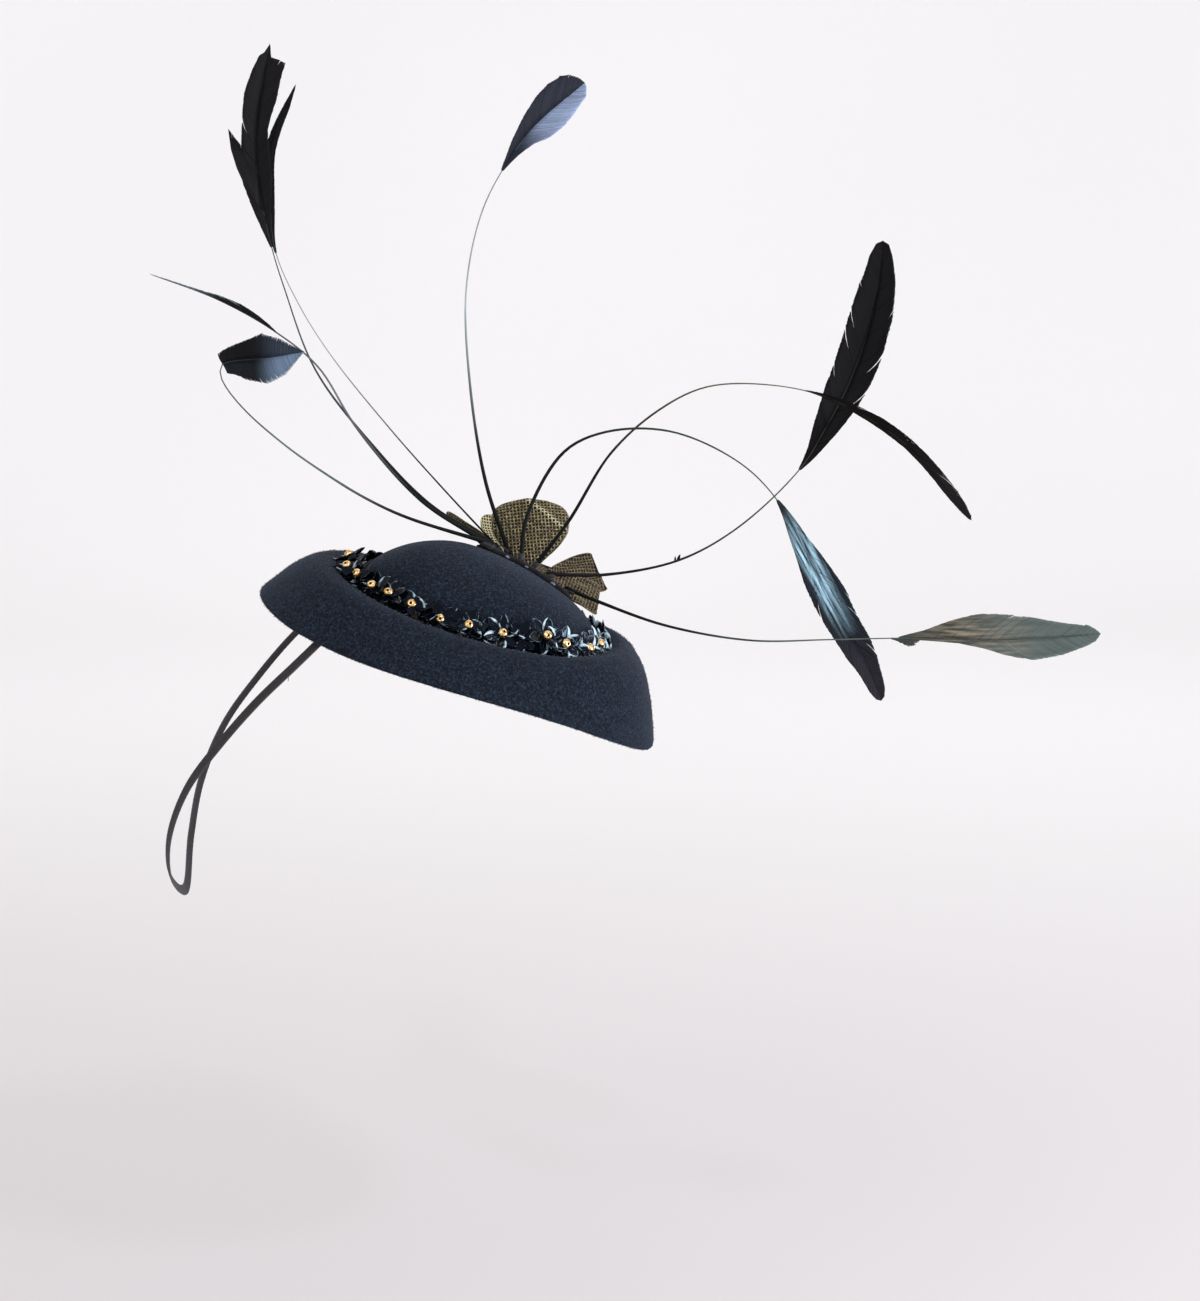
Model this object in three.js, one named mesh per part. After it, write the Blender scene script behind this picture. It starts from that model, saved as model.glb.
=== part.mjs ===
// An oval felt cocktail hat: a pillbox with a domed crown, worn tipped down over the brow.
// Millimetres. +X is the front, +Y the wearer's left, +Z up; the origin is the middle of the rim opening.
import * as THREE from "three";

// How the hat is worn, and what every piece keeps clear of its neighbour.
const nosePitch = 22;
const seatGap = 0.35;

// Felt body.
const feltWall = 2;
const bandSegments = 40;
const crownPeak = 48.6;
const crownPeakX = -8;
const domePower = 0.66;

// The outer face of the side band, ring by ring from the hem to under the crown's edge.
// front, back and side are the oval's half lengths and half width; the heights are at those places,
// arch lifts the ring between the side and the front, and full squares the oval's corners.
const bandRings = [
  { front: 83.4, back: 83.4, side: 66.4, frontUp: 0, backUp: 0, sideUp: 7, arch: 8, full: 1 },
  { front: 85, back: 85, side: 68, frontUp: 1.3, backUp: 1.3, sideUp: 8, arch: 7.5, full: 1 },
  { front: 81.2, back: 82, side: 64.4, frontUp: 9.5, backUp: 6.6, sideUp: 12, arch: 5, full: 1.02 },
  { front: 76.6, back: 78.4, side: 60.4, frontUp: 18, backUp: 12.4, sideUp: 16.6, arch: 2.5, full: 1.05 },
  { front: 71.4, back: 74.4, side: 56.4, frontUp: 26, backUp: 17.2, sideUp: 20.4, arch: 1, full: 1.1 },
  { front: 65.8, back: 70.2, side: 52.8, frontUp: 31.2, backUp: 20.8, sideUp: 23.1, full: 1.13 },
  { front: 61.4, back: 66, side: 49.8, frontUp: 33.7, backUp: 22.6, sideUp: 24.2, full: 1.14 },
  { front: 58.2, back: 62.2, side: 46.8, frontUp: 34.1, backUp: 22.9, sideUp: 24.2, full: 1.14 },
  { front: 55, back: 58.4, side: 43.6, frontUp: 32.8, backUp: 21.6, sideUp: 22.6, full: 1.12 },
  { front: 52, back: 55.2, side: 41, frontUp: 30.2, backUp: 19.4, sideUp: 20.4, full: 1.1 },
  { front: 48.4, back: 51.6, side: 38.4, frontUp: 29, backUp: 18.4, sideUp: 19.2, full: 1.1 },
  { front: 43.6, back: 47, side: 34.6, frontUp: 28.6, backUp: 18, sideUp: 18.8, full: 1.1 },
];
const crownEdge = {
  front: 47.2, back: 50.4, side: 38, frontUp: 31.8, backUp: 21.4, sideUp: 22, full: 1.1,
};
const crownSteps = [0.16, 0.34, 0.52, 0.68, 0.81, 0.91, 0.97, 1];

// Trim of sequin flowers, each with a gold bead, tilted outwards by so many degrees round the oval.
const trimCount = 24;
const trimOval = {
  front: 50.6, back: 54.6, side: 41.6, frontUp: 34.5, backUp: 24.2, sideUp: 25.8, full: 1.08,
};
const trimTilt = { frontUp: 10, backUp: 24, sideUp: 22 };
const petalsPerFlower = 6;
const sequin = {
  reach: 7.2, widestAt: 4.7, halfWidth: 1.7, notch: 2.1,
  tipRise: 2.5, edgeRise: 1.5, ribTop: 0.7, ribUnder: -0.1, hubTop: 0.5,
};
const beadRadius = 2;
const beadRings = [
  { radius: 1.3, high: 0.6 },
  { radius: beadRadius, high: 1.9 },
  { radius: 1.4, high: 3.2 },
];
const beadTop = 3.5;

// Strip that holds the quills along the crown's top.
const binding = { from: -11, to: 33, near: 4.5, far: 16.5, thick: 1.6, steps: 8 };

// Mesh fabric flower on the far slope of the crown. Each petal grows from a place round the base,
// in degrees from the front, to its tip, and is hollow towards face; belly is how far it bows the
// other way, and cup how much its sides curl in.
const meshFlower = { seatX: 14, seatY: 25, baseRadius: 4.2, baseHigh: 2.6, sides: 12, petalStart: 5 };
const meshCloth = 1.2;
const meshPetals = [
  { root: 245, tip: [29, 33, 63], face: [0, 1, 0.2], width: 32, belly: 3.5, cup: 0.2 },
  { root: 30, tip: [57, 46, 30], face: [-0.3, -1, 0.6], width: 20, belly: 1, cup: 0.2 },
  { root: 330, tip: [57, 27, 22], face: [0.3, -0.5, 1], width: 20, belly: -1, cup: 0.12 },
  { root: 195, tip: [-5, 28, 59], face: [1, 0.25, 0.9], width: 18, belly: 0.5, cup: 0.22 },
  { root: 145, tip: [12, 50, 54], face: [0.5, -0.8, 0.6], width: 22, belly: 3, cup: 0.2 },
  { root: 88, tip: [37, 60, 29], face: [-0.1, -0.8, 1], width: 27, belly: 3, cup: 0.2 },
];
const petalOutline = [
  { along: 0, width: 0.16 },
  { along: 0.14, width: 0.34 },
  { along: 0.32, width: 0.66 },
  { along: 0.52, width: 0.92 },
  { along: 0.7, width: 1 },
  { along: 0.86, width: 0.86 },
  { along: 0.95, width: 0.58 },
  { along: 1, width: 0.22 },
];

// Feathers. seat is the place on the crown's top, path the quill and rachis on from there,
// and vane the web's rows: how far along it, and its width left and right of the rachis.
// facing is the side that the web shows, and cup how far its halves fold up from flat, in degrees.
const quillSteps = 15;
const webEdge = 0.3;
const feathers = [
  {
    name: "feather_tall_left", root: 0.9, end: 0.45, seat: [-4, 11.6], facing: [0.2, -1, 0], cup: 14,
    path: [[-11, 10.5, 65], [-34, 9, 90], [-55, 5, 120], [-66, 3, 152], [-71, 2, 171], [-75, 1, 198],
      [-74, -1, 217], [-68, -4, 244]],
    webLength: 77,
    vane: [[0, 0.4, 0.4], [0.14, 2.8, 1.8], [0.34, 6.4, 5.7], [0.48, 5.6, 5.3], [0.6, 5.8, 4.5],
      [0.76, 6.4, 6.5], [0.87, 5, 6.7], [0.945, 3.4, 6.8], [1, 0.5, 1]],
  },
  {
    name: "feather_tall_left_thin", root: 0.6, end: 0.4, seat: [-1.5, 15], facing: [-0.5, -1, 0], cup: 10,
    path: [[-5, 18, 69], [-27, 20, 94], [-50, 18, 124], [-62, 14, 145], [-70, 10, 166], [-71, 8, 186],
      [-70, 8, 206], [-60, 6, 229]],
    webLength: 66,
    vane: [[0, 0.4, 0.4], [0.2, 1.6, 1.8], [0.45, 2.4, 2.6], [0.7, 2, 2.4], [0.88, 1.2, 1.6],
      [1, 0.3, 0.3]],
  },
  {
    name: "feather_edge_left", root: 0.7, end: 0.4, seat: [-9, 8.6], facing: [-0.4, 0, 1], cup: 12,
    path: [[-14, 3, 68], [-38, -5, 98], [-52, -11, 123], [-67, -17, 137], [-88, -23, 150],
      [-112, -29, 160]],
    webLength: 52,
    vane: [[0, 0.4, 0.4], [0.2, 4, 5], [0.45, 8, 9.5], [0.65, 8, 9], [0.85, 4.5, 5], [1, 0.4, 0.4]],
  },
  {
    name: "feather_curled_left", root: 0.9, end: 0.45, seat: [-6.5, 5.6], facing: [0.1, -1, 0.1], cup: 20,
    path: [[-20, -2.5, 62.4], [-36, -5.5, 70.8], [-51, -8.5, 81], [-65, -12, 92], [-80, -16, 106.5],
      [-87.4, -18, 116.7], [-89, -18.5, 121.4], [-88, -19, 125], [-84, -19.5, 126.3],
      [-77, -20, 127], [-69, -20.5, 127.8], [-56.5, -21, 130]],
    webLength: 34,
    vane: [[0, 0.5, 0.5], [0.07, 5, 4.6], [0.2, 6.6, 6.4], [0.38, 8, 8.4], [0.58, 10, 10.2],
      [0.78, 7, 7.6], [1, 0.5, 0.5]],
  },
  {
    name: "feather_top", root: 0.85, end: 0.4, seat: [2, 12.4], facing: [-0.3, -1, -0.2], cup: 26,
    path: [[11, 17, 74], [5, 21, 114], [4, 24, 150], [10, 27, 179], [19, 28, 197], [32, 30, 214],
      [51, 32, 230]],
    webLength: 47,
    vane: [[0, 0.4, 0.4], [0.17, 2.4, 2.4], [0.37, 5, 5.4], [0.5, 6.8, 8.6], [0.62, 8.4, 9],
      [0.77, 9.4, 7.6], [0.88, 8.8, 6], [0.95, 6.8, 4.8], [1, 3, 2]],
  },
  {
    name: "feather_arch", root: 0.85, end: 0.4, seat: [7.5, 8.4], facing: [0.2, -1, 0.1], cup: 12,
    path: [[28, 11, 60], [43, 13, 86], [60, 14, 94], [86, 15, 94], [113, 14, 82], [128, 10, 68],
      [140, 6, 47], [153.5, 1, 21.5], [165, -6, 2], [170, -11, -10]],
    webLength: 90,
    vane: [[0, 0.4, 0.4], [0.12, 2.2, 2.4], [0.25, 4, 4.4], [0.38, 6.2, 6.6], [0.5, 7.4, 7.4],
      [0.62, 6.8, 7], [0.76, 6.2, 6.4], [0.88, 4.4, 4.6], [0.96, 3.4, 3.4], [1, 1.2, 1.2]],
  },
  {
    name: "feather_high_arch", root: 0.85, end: 0.4, seat: [14, 14], facing: [0.3, 0, 1], cup: 6,
    path: [[45, 13.5, 58], [62, 11, 86], [81, 9, 103.5], [100, 7, 113], [126, 4, 114], [148, 2, 109],
      [178, -2, 91.5], [204, -6, 62.5]],
    webLength: 84,
    vane: [[0, 0.4, 0.4], [0.14, 3.8, 3.6], [0.38, 8, 7.6], [0.62, 8, 7.6], [0.84, 5, 5],
      [1, 0.4, 0.4]],
  },
  {
    name: "feather_sweep", root: 0.85, end: 0.45, seat: [20.5, 8.4], facing: [-0.2, -1, 0.1], cup: 12,
    path: [[60, 14, 35.5], [90, 17, 41], [114, 18, 54.5], [139, 20, 78.5], [149, 21, 95],
      [158.5, 22, 114], [165, 22.5, 134], [169, 23, 153], [170, 23, 168]],
    webLength: 97,
    vane: [[0, 0.4, 0.4], [0.1, 2.6, 2.6], [0.22, 5.6, 5.4], [0.36, 8.4, 7.6], [0.5, 9, 8.8],
      [0.7, 9, 8.8], [0.84, 7, 6.8], [0.95, 4.2, 3.8], [1, 1.2, 1.2]],
  },
  {
    name: "feather_low", root: 0.8, end: 0.4, seat: [30, 13], facing: [0, -1, 0.25], cup: 14,
    path: [[57, 8, 25.5], [84, 2, 17], [118, -3, 12], [150, -8, 13.5], [180, -12, 15], [207, -16, 15],
      [231, -21, 17], [253, -26, 20]],
    webLength: 78,
    vane: [[0, 0.4, 0.4], [0.14, 3.6, 0.7], [0.31, 9, 1.2], [0.42, 11, 3], [0.55, 10.2, 6.2],
      [0.68, 8.6, 8.8], [0.83, 5.8, 7.2], [0.95, 3.2, 3.2], [1, 0.5, 0.5]],
  },
];

// Elastic: half of its run, from inside the band on the near side to the middle of the back.
const elastic = { wide: 4.6, thick: 1, steps: 60, headX: -16, headZ: -50 };
const elasticHalf = [
  [-43, -43.4, 28.6], [-51.6, -48.2, 20.6], [-59, -53, 14], [-73, -56.5, 1], [-88, -54.5, -16],
  [-103, -48, -36.3], [-112.5, -39, -58.8], [-115.5, -26, -79], [-114, 0, -93],
];

const tilted = new THREE.Matrix4().makeRotationY(THREE.MathUtils.degToRad(nosePitch));
const untilted = tilted.clone().invert();

const finishes = {
  felt: new THREE.MeshStandardMaterial({ color: "#272d39", roughness: 1, metalness: 0 }),
  sequin: new THREE.MeshStandardMaterial({ color: "#15161a", roughness: 0.25, metalness: 0 }),
  binding: new THREE.MeshStandardMaterial({ color: "#141518", roughness: 0.8, metalness: 0 }),
  mesh: new THREE.MeshStandardMaterial({ color: "#6a5a36", roughness: 0.5, metalness: 0.5 }),
  feather: new THREE.MeshStandardMaterial({ color: "#1e2024", roughness: 0.45, metalness: 0 }),
  elastic: new THREE.MeshStandardMaterial({ color: "#2b2829", roughness: 0.8, metalness: 0 }),
};

// A closed body from points and triangles, turned inside out if its faces point in.
function bodyFrom(points, faces) {
  let volume = 0;
  for (let i = 0; i < faces.length; i += 3) {
    const [a, b, c] = [points[faces[i]], points[faces[i + 1]], points[faces[i + 2]]];
    volume += a.dot(new THREE.Vector3().crossVectors(b, c));
  }
  const outward = volume > 0 ? faces : faces.slice().reverse();
  const geometry = new THREE.BufferGeometry().setFromPoints(points);
  geometry.setIndex(outward);
  geometry.computeVertexNormals();
  return geometry;
}

function middleOf(ring) {
  const sum = new THREE.Vector3();
  ring.forEach((point) => sum.add(point));
  return sum.divideScalar(ring.length);
}

// A closed skin over a row of rings: shut into a loop, or capped to a point at both ends.
function skinOver(rings, { loop = false, startPoint, endPoint } = {}) {
  const sides = rings[0].length;
  const points = rings.flat();
  const faces = [];
  const spans = loop ? rings.length : rings.length - 1;
  for (let i = 0; i < spans; i += 1) {
    const here = i * sides;
    const next = ((i + 1) % rings.length) * sides;
    for (let k = 0; k < sides; k += 1) {
      const m = (k + 1) % sides;
      faces.push(here + k, here + m, next + m);
      faces.push(here + k, next + m, next + k);
    }
  }
  if (!loop) {
    const start = points.length;
    points.push(startPoint ?? middleOf(rings[0]));
    points.push(endPoint ?? middleOf(rings.at(-1)));
    const last = (rings.length - 1) * sides;
    for (let k = 0; k < sides; k += 1) {
      const m = (k + 1) % sides;
      faces.push(start, m, k);
      faces.push(start + 1, last + k, last + m);
    }
  }
  return bodyFrom(points, faces);
}

// Height on one oval ring, from the cosine of the place round it.
function ringHeight({ frontUp, backUp, sideUp, arch = 0 }, along) {
  const level = (frontUp + backUp) / 2;
  const slope = (frontUp - backUp) / 2;
  const bow = (level - sideUp) * along * along;
  return sideUp + slope * along + bow + arch * along * (1 - along * along);
}

// A share of the way along or across, pushed outwards where the oval is fuller than an ellipse.
function fuller(value, full) {
  return Math.sign(value) * Math.abs(value) ** (1 / full);
}

function ringPoint(ring, angle) {
  const along = fuller(Math.cos(angle), ring.full);
  const across = fuller(Math.sin(angle), ring.full);
  const reach = along > 0 ? ring.front : ring.back;
  return new THREE.Vector3(reach * along, ring.side * across, ringHeight(ring, along));
}

function ringAngles(count) {
  return Array.from({ length: count }, (_, k) => (2 * Math.PI * k) / count);
}

// The same rings moved in through the felt's thickness, along the face's own normal.
function innerFace(rings, wall) {
  const sides = rings[0].length;
  return rings.map((ring, i) => ring.map((point, k) => {
    const before = rings[Math.max(i - 1, 0)][k];
    const after = rings[Math.min(i + 1, rings.length - 1)][k];
    const along = new THREE.Vector3().subVectors(after, before);
    const round = new THREE.Vector3().subVectors(ring[(k + 1) % sides], ring[(k + sides - 1) % sides]);
    const normal = new THREE.Vector3().crossVectors(round, along).normalize();
    return point.clone().addScaledVector(normal, -wall);
  }));
}

function sideBand() {
  const angles = ringAngles(bandSegments);
  const outer = bandRings.map((ring) => angles.map((angle) => ringPoint(ring, angle)));
  const inner = innerFace(outer, feltWall);
  return skinOver([...outer, ...inner.reverse()], { loop: true });
}

// Height of the crown's outer face in the hat's own frame, at a share of the way to its edge.
function domeHeight(share, angle) {
  const edge = ringHeight(crownEdge, fuller(Math.cos(angle), crownEdge.full));
  return edge + (crownPeak - edge) * (1 - share * share) ** domePower;
}

function domePoint(share, angle) {
  const edge = ringPoint(crownEdge, angle);
  const x = crownPeakX * (1 - share) + edge.x * share;
  return new THREE.Vector3(x, edge.y * share, domeHeight(share, angle));
}

function crown() {
  const angles = ringAngles(bandSegments);
  const outer = crownSteps.map((share) => angles.map((angle) => domePoint(share, angle)));
  const inner = innerFace(outer, -feltWall);
  const top = new THREE.Vector3(crownPeakX, 0, crownPeak);
  const under = top.clone().setZ(crownPeak - feltWall);
  return skinOver([...outer, ...inner.reverse()], { startPoint: top, endPoint: under });
}

// The crown's outer face under a place (x, y) in the hat's own frame, lifted off it.
function onCrown(x, y, lift) {
  let share = 0;
  let angle = 0;
  for (let pass = 0; pass < 12; pass += 1) {
    const middleX = crownPeakX * (1 - share);
    const reach = x > middleX ? crownEdge.front : crownEdge.back;
    const along = Math.sign(x - middleX) * Math.abs((x - middleX) / reach) ** crownEdge.full;
    const across = Math.sign(y) * Math.abs(y / crownEdge.side) ** crownEdge.full;
    angle = Math.atan2(across, along);
    share = Math.hypot(across, along) ** (1 / crownEdge.full);
  }
  return new THREE.Vector3(x, y, domeHeight(share, angle) + lift);
}

// One six-petal sequin flower with its bead, flat on XY and cupped upwards.
function trimFlower() {
  const points = [];
  const faces = [];
  const put = (radius, angle, high) => {
    points.push(new THREE.Vector3(radius * Math.cos(angle), radius * Math.sin(angle), high));
    return points.length - 1;
  };
  const petalTurn = (2 * Math.PI) / petalsPerFlower;
  const widestTurn = Math.atan2(sequin.halfWidth, sequin.widestAt);
  const widestReach = Math.hypot(sequin.halfWidth, sequin.widestAt);
  const under = put(0, 0, sequin.ribUnder);
  const hub = [];
  const petals = [];
  for (let k = 0; k < petalsPerFlower; k += 1) {
    const angle = k * petalTurn;
    hub.push(put(sequin.notch, angle - petalTurn / 2, sequin.hubTop));
    hub.push(put(sequin.notch, angle, sequin.hubTop));
    petals.push({
      left: put(widestReach, angle - widestTurn, sequin.edgeRise),
      right: put(widestReach, angle + widestTurn, sequin.edgeRise),
      tip: put(sequin.reach, angle, sequin.tipRise),
      rib: put(sequin.widestAt, angle, sequin.ribTop),
      keel: put(sequin.widestAt, angle, sequin.ribUnder),
    });
  }
  petals.forEach((petal, k) => {
    const [notch, base] = [hub[2 * k], hub[2 * k + 1]];
    const nextNotch = hub[(2 * k + 2) % hub.length];
    faces.push(notch, petal.left, petal.rib, notch, petal.rib, base);
    faces.push(base, petal.rib, nextNotch, petal.rib, petal.right, nextNotch);
    faces.push(petal.left, petal.tip, petal.rib, petal.rib, petal.tip, petal.right);
    faces.push(notch, petal.keel, petal.left, under, petal.keel, notch);
    faces.push(under, nextNotch, petal.keel, petal.keel, nextNotch, petal.right);
    faces.push(petal.left, petal.keel, petal.tip, petal.keel, petal.right, petal.tip);
  });
  let inside = hub;
  beadRings.forEach(({ radius, high }) => {
    const ring = hub.map((_, k) => put(radius, (k - 1) * (petalTurn / 2), high));
    ring.forEach((point, k) => {
      const m = (k + 1) % ring.length;
      faces.push(inside[k], inside[m], ring[m], inside[k], ring[m], point);
    });
    inside = ring;
  });
  const top = put(0, 0, beadTop);
  inside.forEach((point, k) => faces.push(point, inside[(k + 1) % inside.length], top));
  return bodyFrom(points, faces);
}

// Places round the trim's oval, at even steps of its length.
function trimPlaces() {
  const oval = ringAngles(360).map((angle) => {
    return { angle, point: ringPoint(trimOval, angle) };
  });
  const runs = [0];
  oval.forEach(({ point }, k) => {
    runs.push(runs[k] + point.distanceTo(oval[(k + 1) % oval.length].point));
  });
  const step = runs.at(-1) / trimCount;
  return Array.from({ length: trimCount }, (_, k) => {
    const run = (k + 0.5) * step;
    return oval[runs.findIndex((length) => length > run) - 1];
  });
}

function placedTrim(k, { angle, point }) {
  const mesh = new THREE.Mesh(trimFlower(), finishes.sequin);
  mesh.name = `trim_flower_${String(k + 1).padStart(2, "0")}`;
  mesh.position.copy(point);
  const outward = Math.atan2(Math.sin(angle) / trimOval.side, Math.cos(angle) / trimOval.front);
  const tilt = THREE.MathUtils.degToRad(ringHeight(trimTilt, Math.cos(angle)));
  const turn = k % 2 === 0 ? 0 : Math.PI / petalsPerFlower;
  mesh.rotation.set(0, tilt, outward, "ZYX");
  mesh.rotateZ(turn);
  return mesh;
}

function quillBinding() {
  const sections = [];
  for (let i = 0; i <= binding.steps; i += 1) {
    const x = THREE.MathUtils.lerp(binding.from, binding.to, i / binding.steps);
    const across = [binding.near, (binding.near + binding.far) / 2, binding.far];
    const lower = across.map((y) => onCrown(x, y, seatGap));
    const upper = across.map((y) => onCrown(x, y, seatGap + binding.thick));
    sections.push([...lower, ...upper.reverse()]);
  }
  return skinOver(sections);
}

// The mesh flower's own frame: its axis stands square on the crown at its seat.
function meshFlowerFrame() {
  const { seatX, seatY } = meshFlower;
  const seat = onCrown(seatX, seatY, seatGap);
  const ahead = onCrown(seatX + 1, seatY, seatGap).sub(seat);
  const aside = onCrown(seatX, seatY + 1, seatGap).sub(seat);
  const axis = new THREE.Vector3().crossVectors(ahead, aside).normalize();
  const front = ahead.normalize();
  const left = new THREE.Vector3().crossVectors(axis, front);
  return new THREE.Matrix4().makeBasis(front, left, axis).setPosition(seat);
}

function meshFlowerBase() {
  const { baseRadius, baseHigh, sides } = meshFlower;
  const profile = [
    new THREE.Vector2(0, 0.4),
    new THREE.Vector2(baseRadius * 0.8, 0.4),
    new THREE.Vector2(baseRadius, baseHigh * 0.6),
    new THREE.Vector2(baseRadius * 0.6, baseHigh),
    new THREE.Vector2(0, baseHigh),
  ];
  return new THREE.LatheGeometry(profile, sides).rotateX(Math.PI / 2);
}

// One cupped petal, from beside the flower's base to its tip.
function meshPetal({ root, tip, face, width, belly, cup }, frame) {
  const end = new THREE.Vector3(...tip).applyMatrix4(untilted);
  const hollow = new THREE.Vector3(...face).applyMatrix4(untilted).normalize();
  const turn = THREE.MathUtils.degToRad(root);
  const { petalStart, baseHigh } = meshFlower;
  const start = new THREE.Vector3(Math.cos(turn), Math.sin(turn), 0).multiplyScalar(petalStart)
    .setZ(baseHigh * 0.7).applyMatrix4(frame);
  const bow = new THREE.Vector3().lerpVectors(start, end, 0.5).addScaledVector(hollow, -2 * belly);
  const run = new THREE.QuadraticBezierCurve3(start, bow, end);
  const sections = petalOutline.map(({ along, width: share }) => {
    const middle = run.getPointAt(along);
    const forward = run.getTangentAt(along);
    const side = new THREE.Vector3().crossVectors(forward, hollow).normalize();
    const normal = new THREE.Vector3().crossVectors(side, forward);
    const half = (width * share) / 2;
    const across = [-1, -0.5, 0, 0.5, 1].map((place) => middle.clone()
      .addScaledVector(side, place * half)
      .addScaledVector(normal, cup * half * place * place));
    const back = across.map((point) => point.clone().addScaledVector(normal, -meshCloth));
    return [...across, ...back.reverse()];
  });
  return skinOver(sections);
}

function rowAt(rows, share) {
  const next = rows.findIndex((row) => row[0] >= share);
  if (next <= 0) {
    return rows[0];
  }
  const [a, b] = [rows[next - 1], rows[next]];
  const mix = (share - a[0]) / (b[0] - a[0]);
  return a.map((value, k) => THREE.MathUtils.lerp(value, b[k], mix));
}

// A stripped feather: a six-sided section that is a round quill first and a flat web at the end.
function feather({ seat, path, root, end, webLength, vane, facing, cup }) {
  const foot = onCrown(seat[0], seat[1], seatGap * 2 + binding.thick);
  const leaving = new THREE.Vector3(...path[0]).applyMatrix4(untilted).sub(foot).normalize();
  foot.z += root * Math.hypot(leaving.x, leaving.y);
  const knots = [foot.applyMatrix4(tilted), ...path.map((point) => new THREE.Vector3(...point))];
  const spine = new THREE.CatmullRomCurve3(knots, false, "centripetal");
  const webFrom = 1 - webLength / spine.getLength();
  const shares = Array.from({ length: quillSteps }, (_, k) => (webFrom * k) / quillSteps);
  shares.push(...vane.map((row) => webFrom + (1 - webFrom) * row[0]));
  const fold = THREE.MathUtils.degToRad(cup);
  const face = new THREE.Vector3(...facing).normalize();
  const sections = shares.map((share) => {
    const middle = spine.getPointAt(share);
    const forward = spine.getTangentAt(share);
    const right = new THREE.Vector3().crossVectors(forward, face).normalize();
    const up = new THREE.Vector3().crossVectors(right, forward);
    const radius = THREE.MathUtils.lerp(root, end, Math.min(share / webFrom, 1));
    const inWeb = share >= webFrom;
    const [, wideLeft, wideRight] = rowAt(vane, (share - webFrom) / (1 - webFrom));
    const reachLeft = inWeb ? Math.max(wideLeft, radius * 0.9) : radius * 0.9;
    const reachRight = inWeb ? Math.max(wideRight, radius * 0.9) : radius * 0.9;
    const half = inWeb ? webEdge / 2 : radius / 2;
    const bend = inWeb ? fold : 0;
    const spot = (across, high) => middle.clone().addScaledVector(right, across).addScaledVector(up, high);
    const edge = (side, reach, high) => spot(side * reach * Math.cos(bend), reach * Math.sin(bend) + high);
    return [
      spot(0, radius), edge(1, reachRight, half), edge(1, reachRight, -half),
      spot(0, -radius), edge(-1, reachLeft, -half), edge(-1, reachLeft, half),
    ];
  });
  return skinOver(sections);
}

function elasticStrap() {
  const near = elasticHalf.map((point) => new THREE.Vector3(...point));
  const far = near.slice(0, -1).reverse().map((point) => point.clone().setY(-point.y));
  const run = new THREE.CatmullRomCurve3([...near, ...far], false, "centripetal");
  const middle = new THREE.Vector3(elastic.headX, 0, elastic.headZ);
  const sections = [];
  for (let i = 0; i <= elastic.steps; i += 1) {
    const point = run.getPointAt(i / elastic.steps);
    const forward = run.getTangentAt(i / elastic.steps);
    const away = new THREE.Vector3().subVectors(point, middle);
    const width = new THREE.Vector3().crossVectors(forward, away).normalize();
    const out = new THREE.Vector3().crossVectors(width, forward);
    const corner = (across, high) => point.clone()
      .addScaledVector(width, (across * elastic.wide) / 2)
      .addScaledVector(out, (high * elastic.thick) / 2);
    sections.push([corner(-1, -1), corner(1, -1), corner(1, 1), corner(-1, 1)]);
  }
  return skinOver(sections);
}

function named(name, geometry, material) {
  const mesh = new THREE.Mesh(geometry, material);
  mesh.name = name;
  return mesh;
}

const hat = new THREE.Group();

// What is built square to the rim is tipped with it.
const tipped = new THREE.Group();
tipped.rotation.y = THREE.MathUtils.degToRad(nosePitch);
tipped.add(named("side_band", sideBand(), finishes.felt));
tipped.add(named("crown", crown(), finishes.felt));
trimPlaces().forEach((place, k) => tipped.add(placedTrim(k, place)));
tipped.add(named("quill_binding", quillBinding(), finishes.binding));
hat.add(tipped);

const flowerFrame = meshFlowerFrame();
const flowerBase = named("mesh_flower_base", meshFlowerBase(), finishes.binding);
flowerFrame.decompose(flowerBase.position, flowerBase.quaternion, flowerBase.scale);
tipped.add(flowerBase);
meshPetals.forEach((petal, k) => {
  tipped.add(named(`mesh_petal_${k + 1}`, meshPetal(petal, flowerFrame), finishes.mesh));
});

feathers.forEach((row) => hat.add(named(row.name, feather(row), finishes.feather)));
hat.add(named("elastic_strap", elasticStrap(), finishes.elastic));

export default hat;
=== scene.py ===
import math
import random
from bisect import bisect_right

import bmesh
import bpy
from mathutils import Matrix, Vector, noise
from mathutils.bvhtree import BVHTree


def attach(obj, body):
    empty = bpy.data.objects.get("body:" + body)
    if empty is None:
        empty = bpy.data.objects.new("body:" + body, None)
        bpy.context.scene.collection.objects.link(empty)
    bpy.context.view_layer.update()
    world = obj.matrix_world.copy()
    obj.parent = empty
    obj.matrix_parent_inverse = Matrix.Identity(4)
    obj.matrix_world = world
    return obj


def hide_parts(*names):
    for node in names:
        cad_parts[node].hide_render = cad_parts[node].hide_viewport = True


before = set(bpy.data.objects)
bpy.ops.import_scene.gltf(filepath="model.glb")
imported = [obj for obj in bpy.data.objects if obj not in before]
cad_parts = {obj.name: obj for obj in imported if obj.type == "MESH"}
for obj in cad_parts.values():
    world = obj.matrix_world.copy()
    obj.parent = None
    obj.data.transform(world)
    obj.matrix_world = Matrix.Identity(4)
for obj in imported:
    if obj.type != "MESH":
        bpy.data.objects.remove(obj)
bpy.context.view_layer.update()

# Every length below is in millimetres unless its name says otherwise; meshes are made in metres.
metre = 1000
# without a seed the noise of the felt's dents would start from the clock
noise.seed_set(4)

# Camera, light and floor

# A new object of the scene
def newObject(name, data):
    thing = bpy.data.objects.new(name, data)
    bpy.context.collection.objects.link(thing)
    return thing


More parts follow.
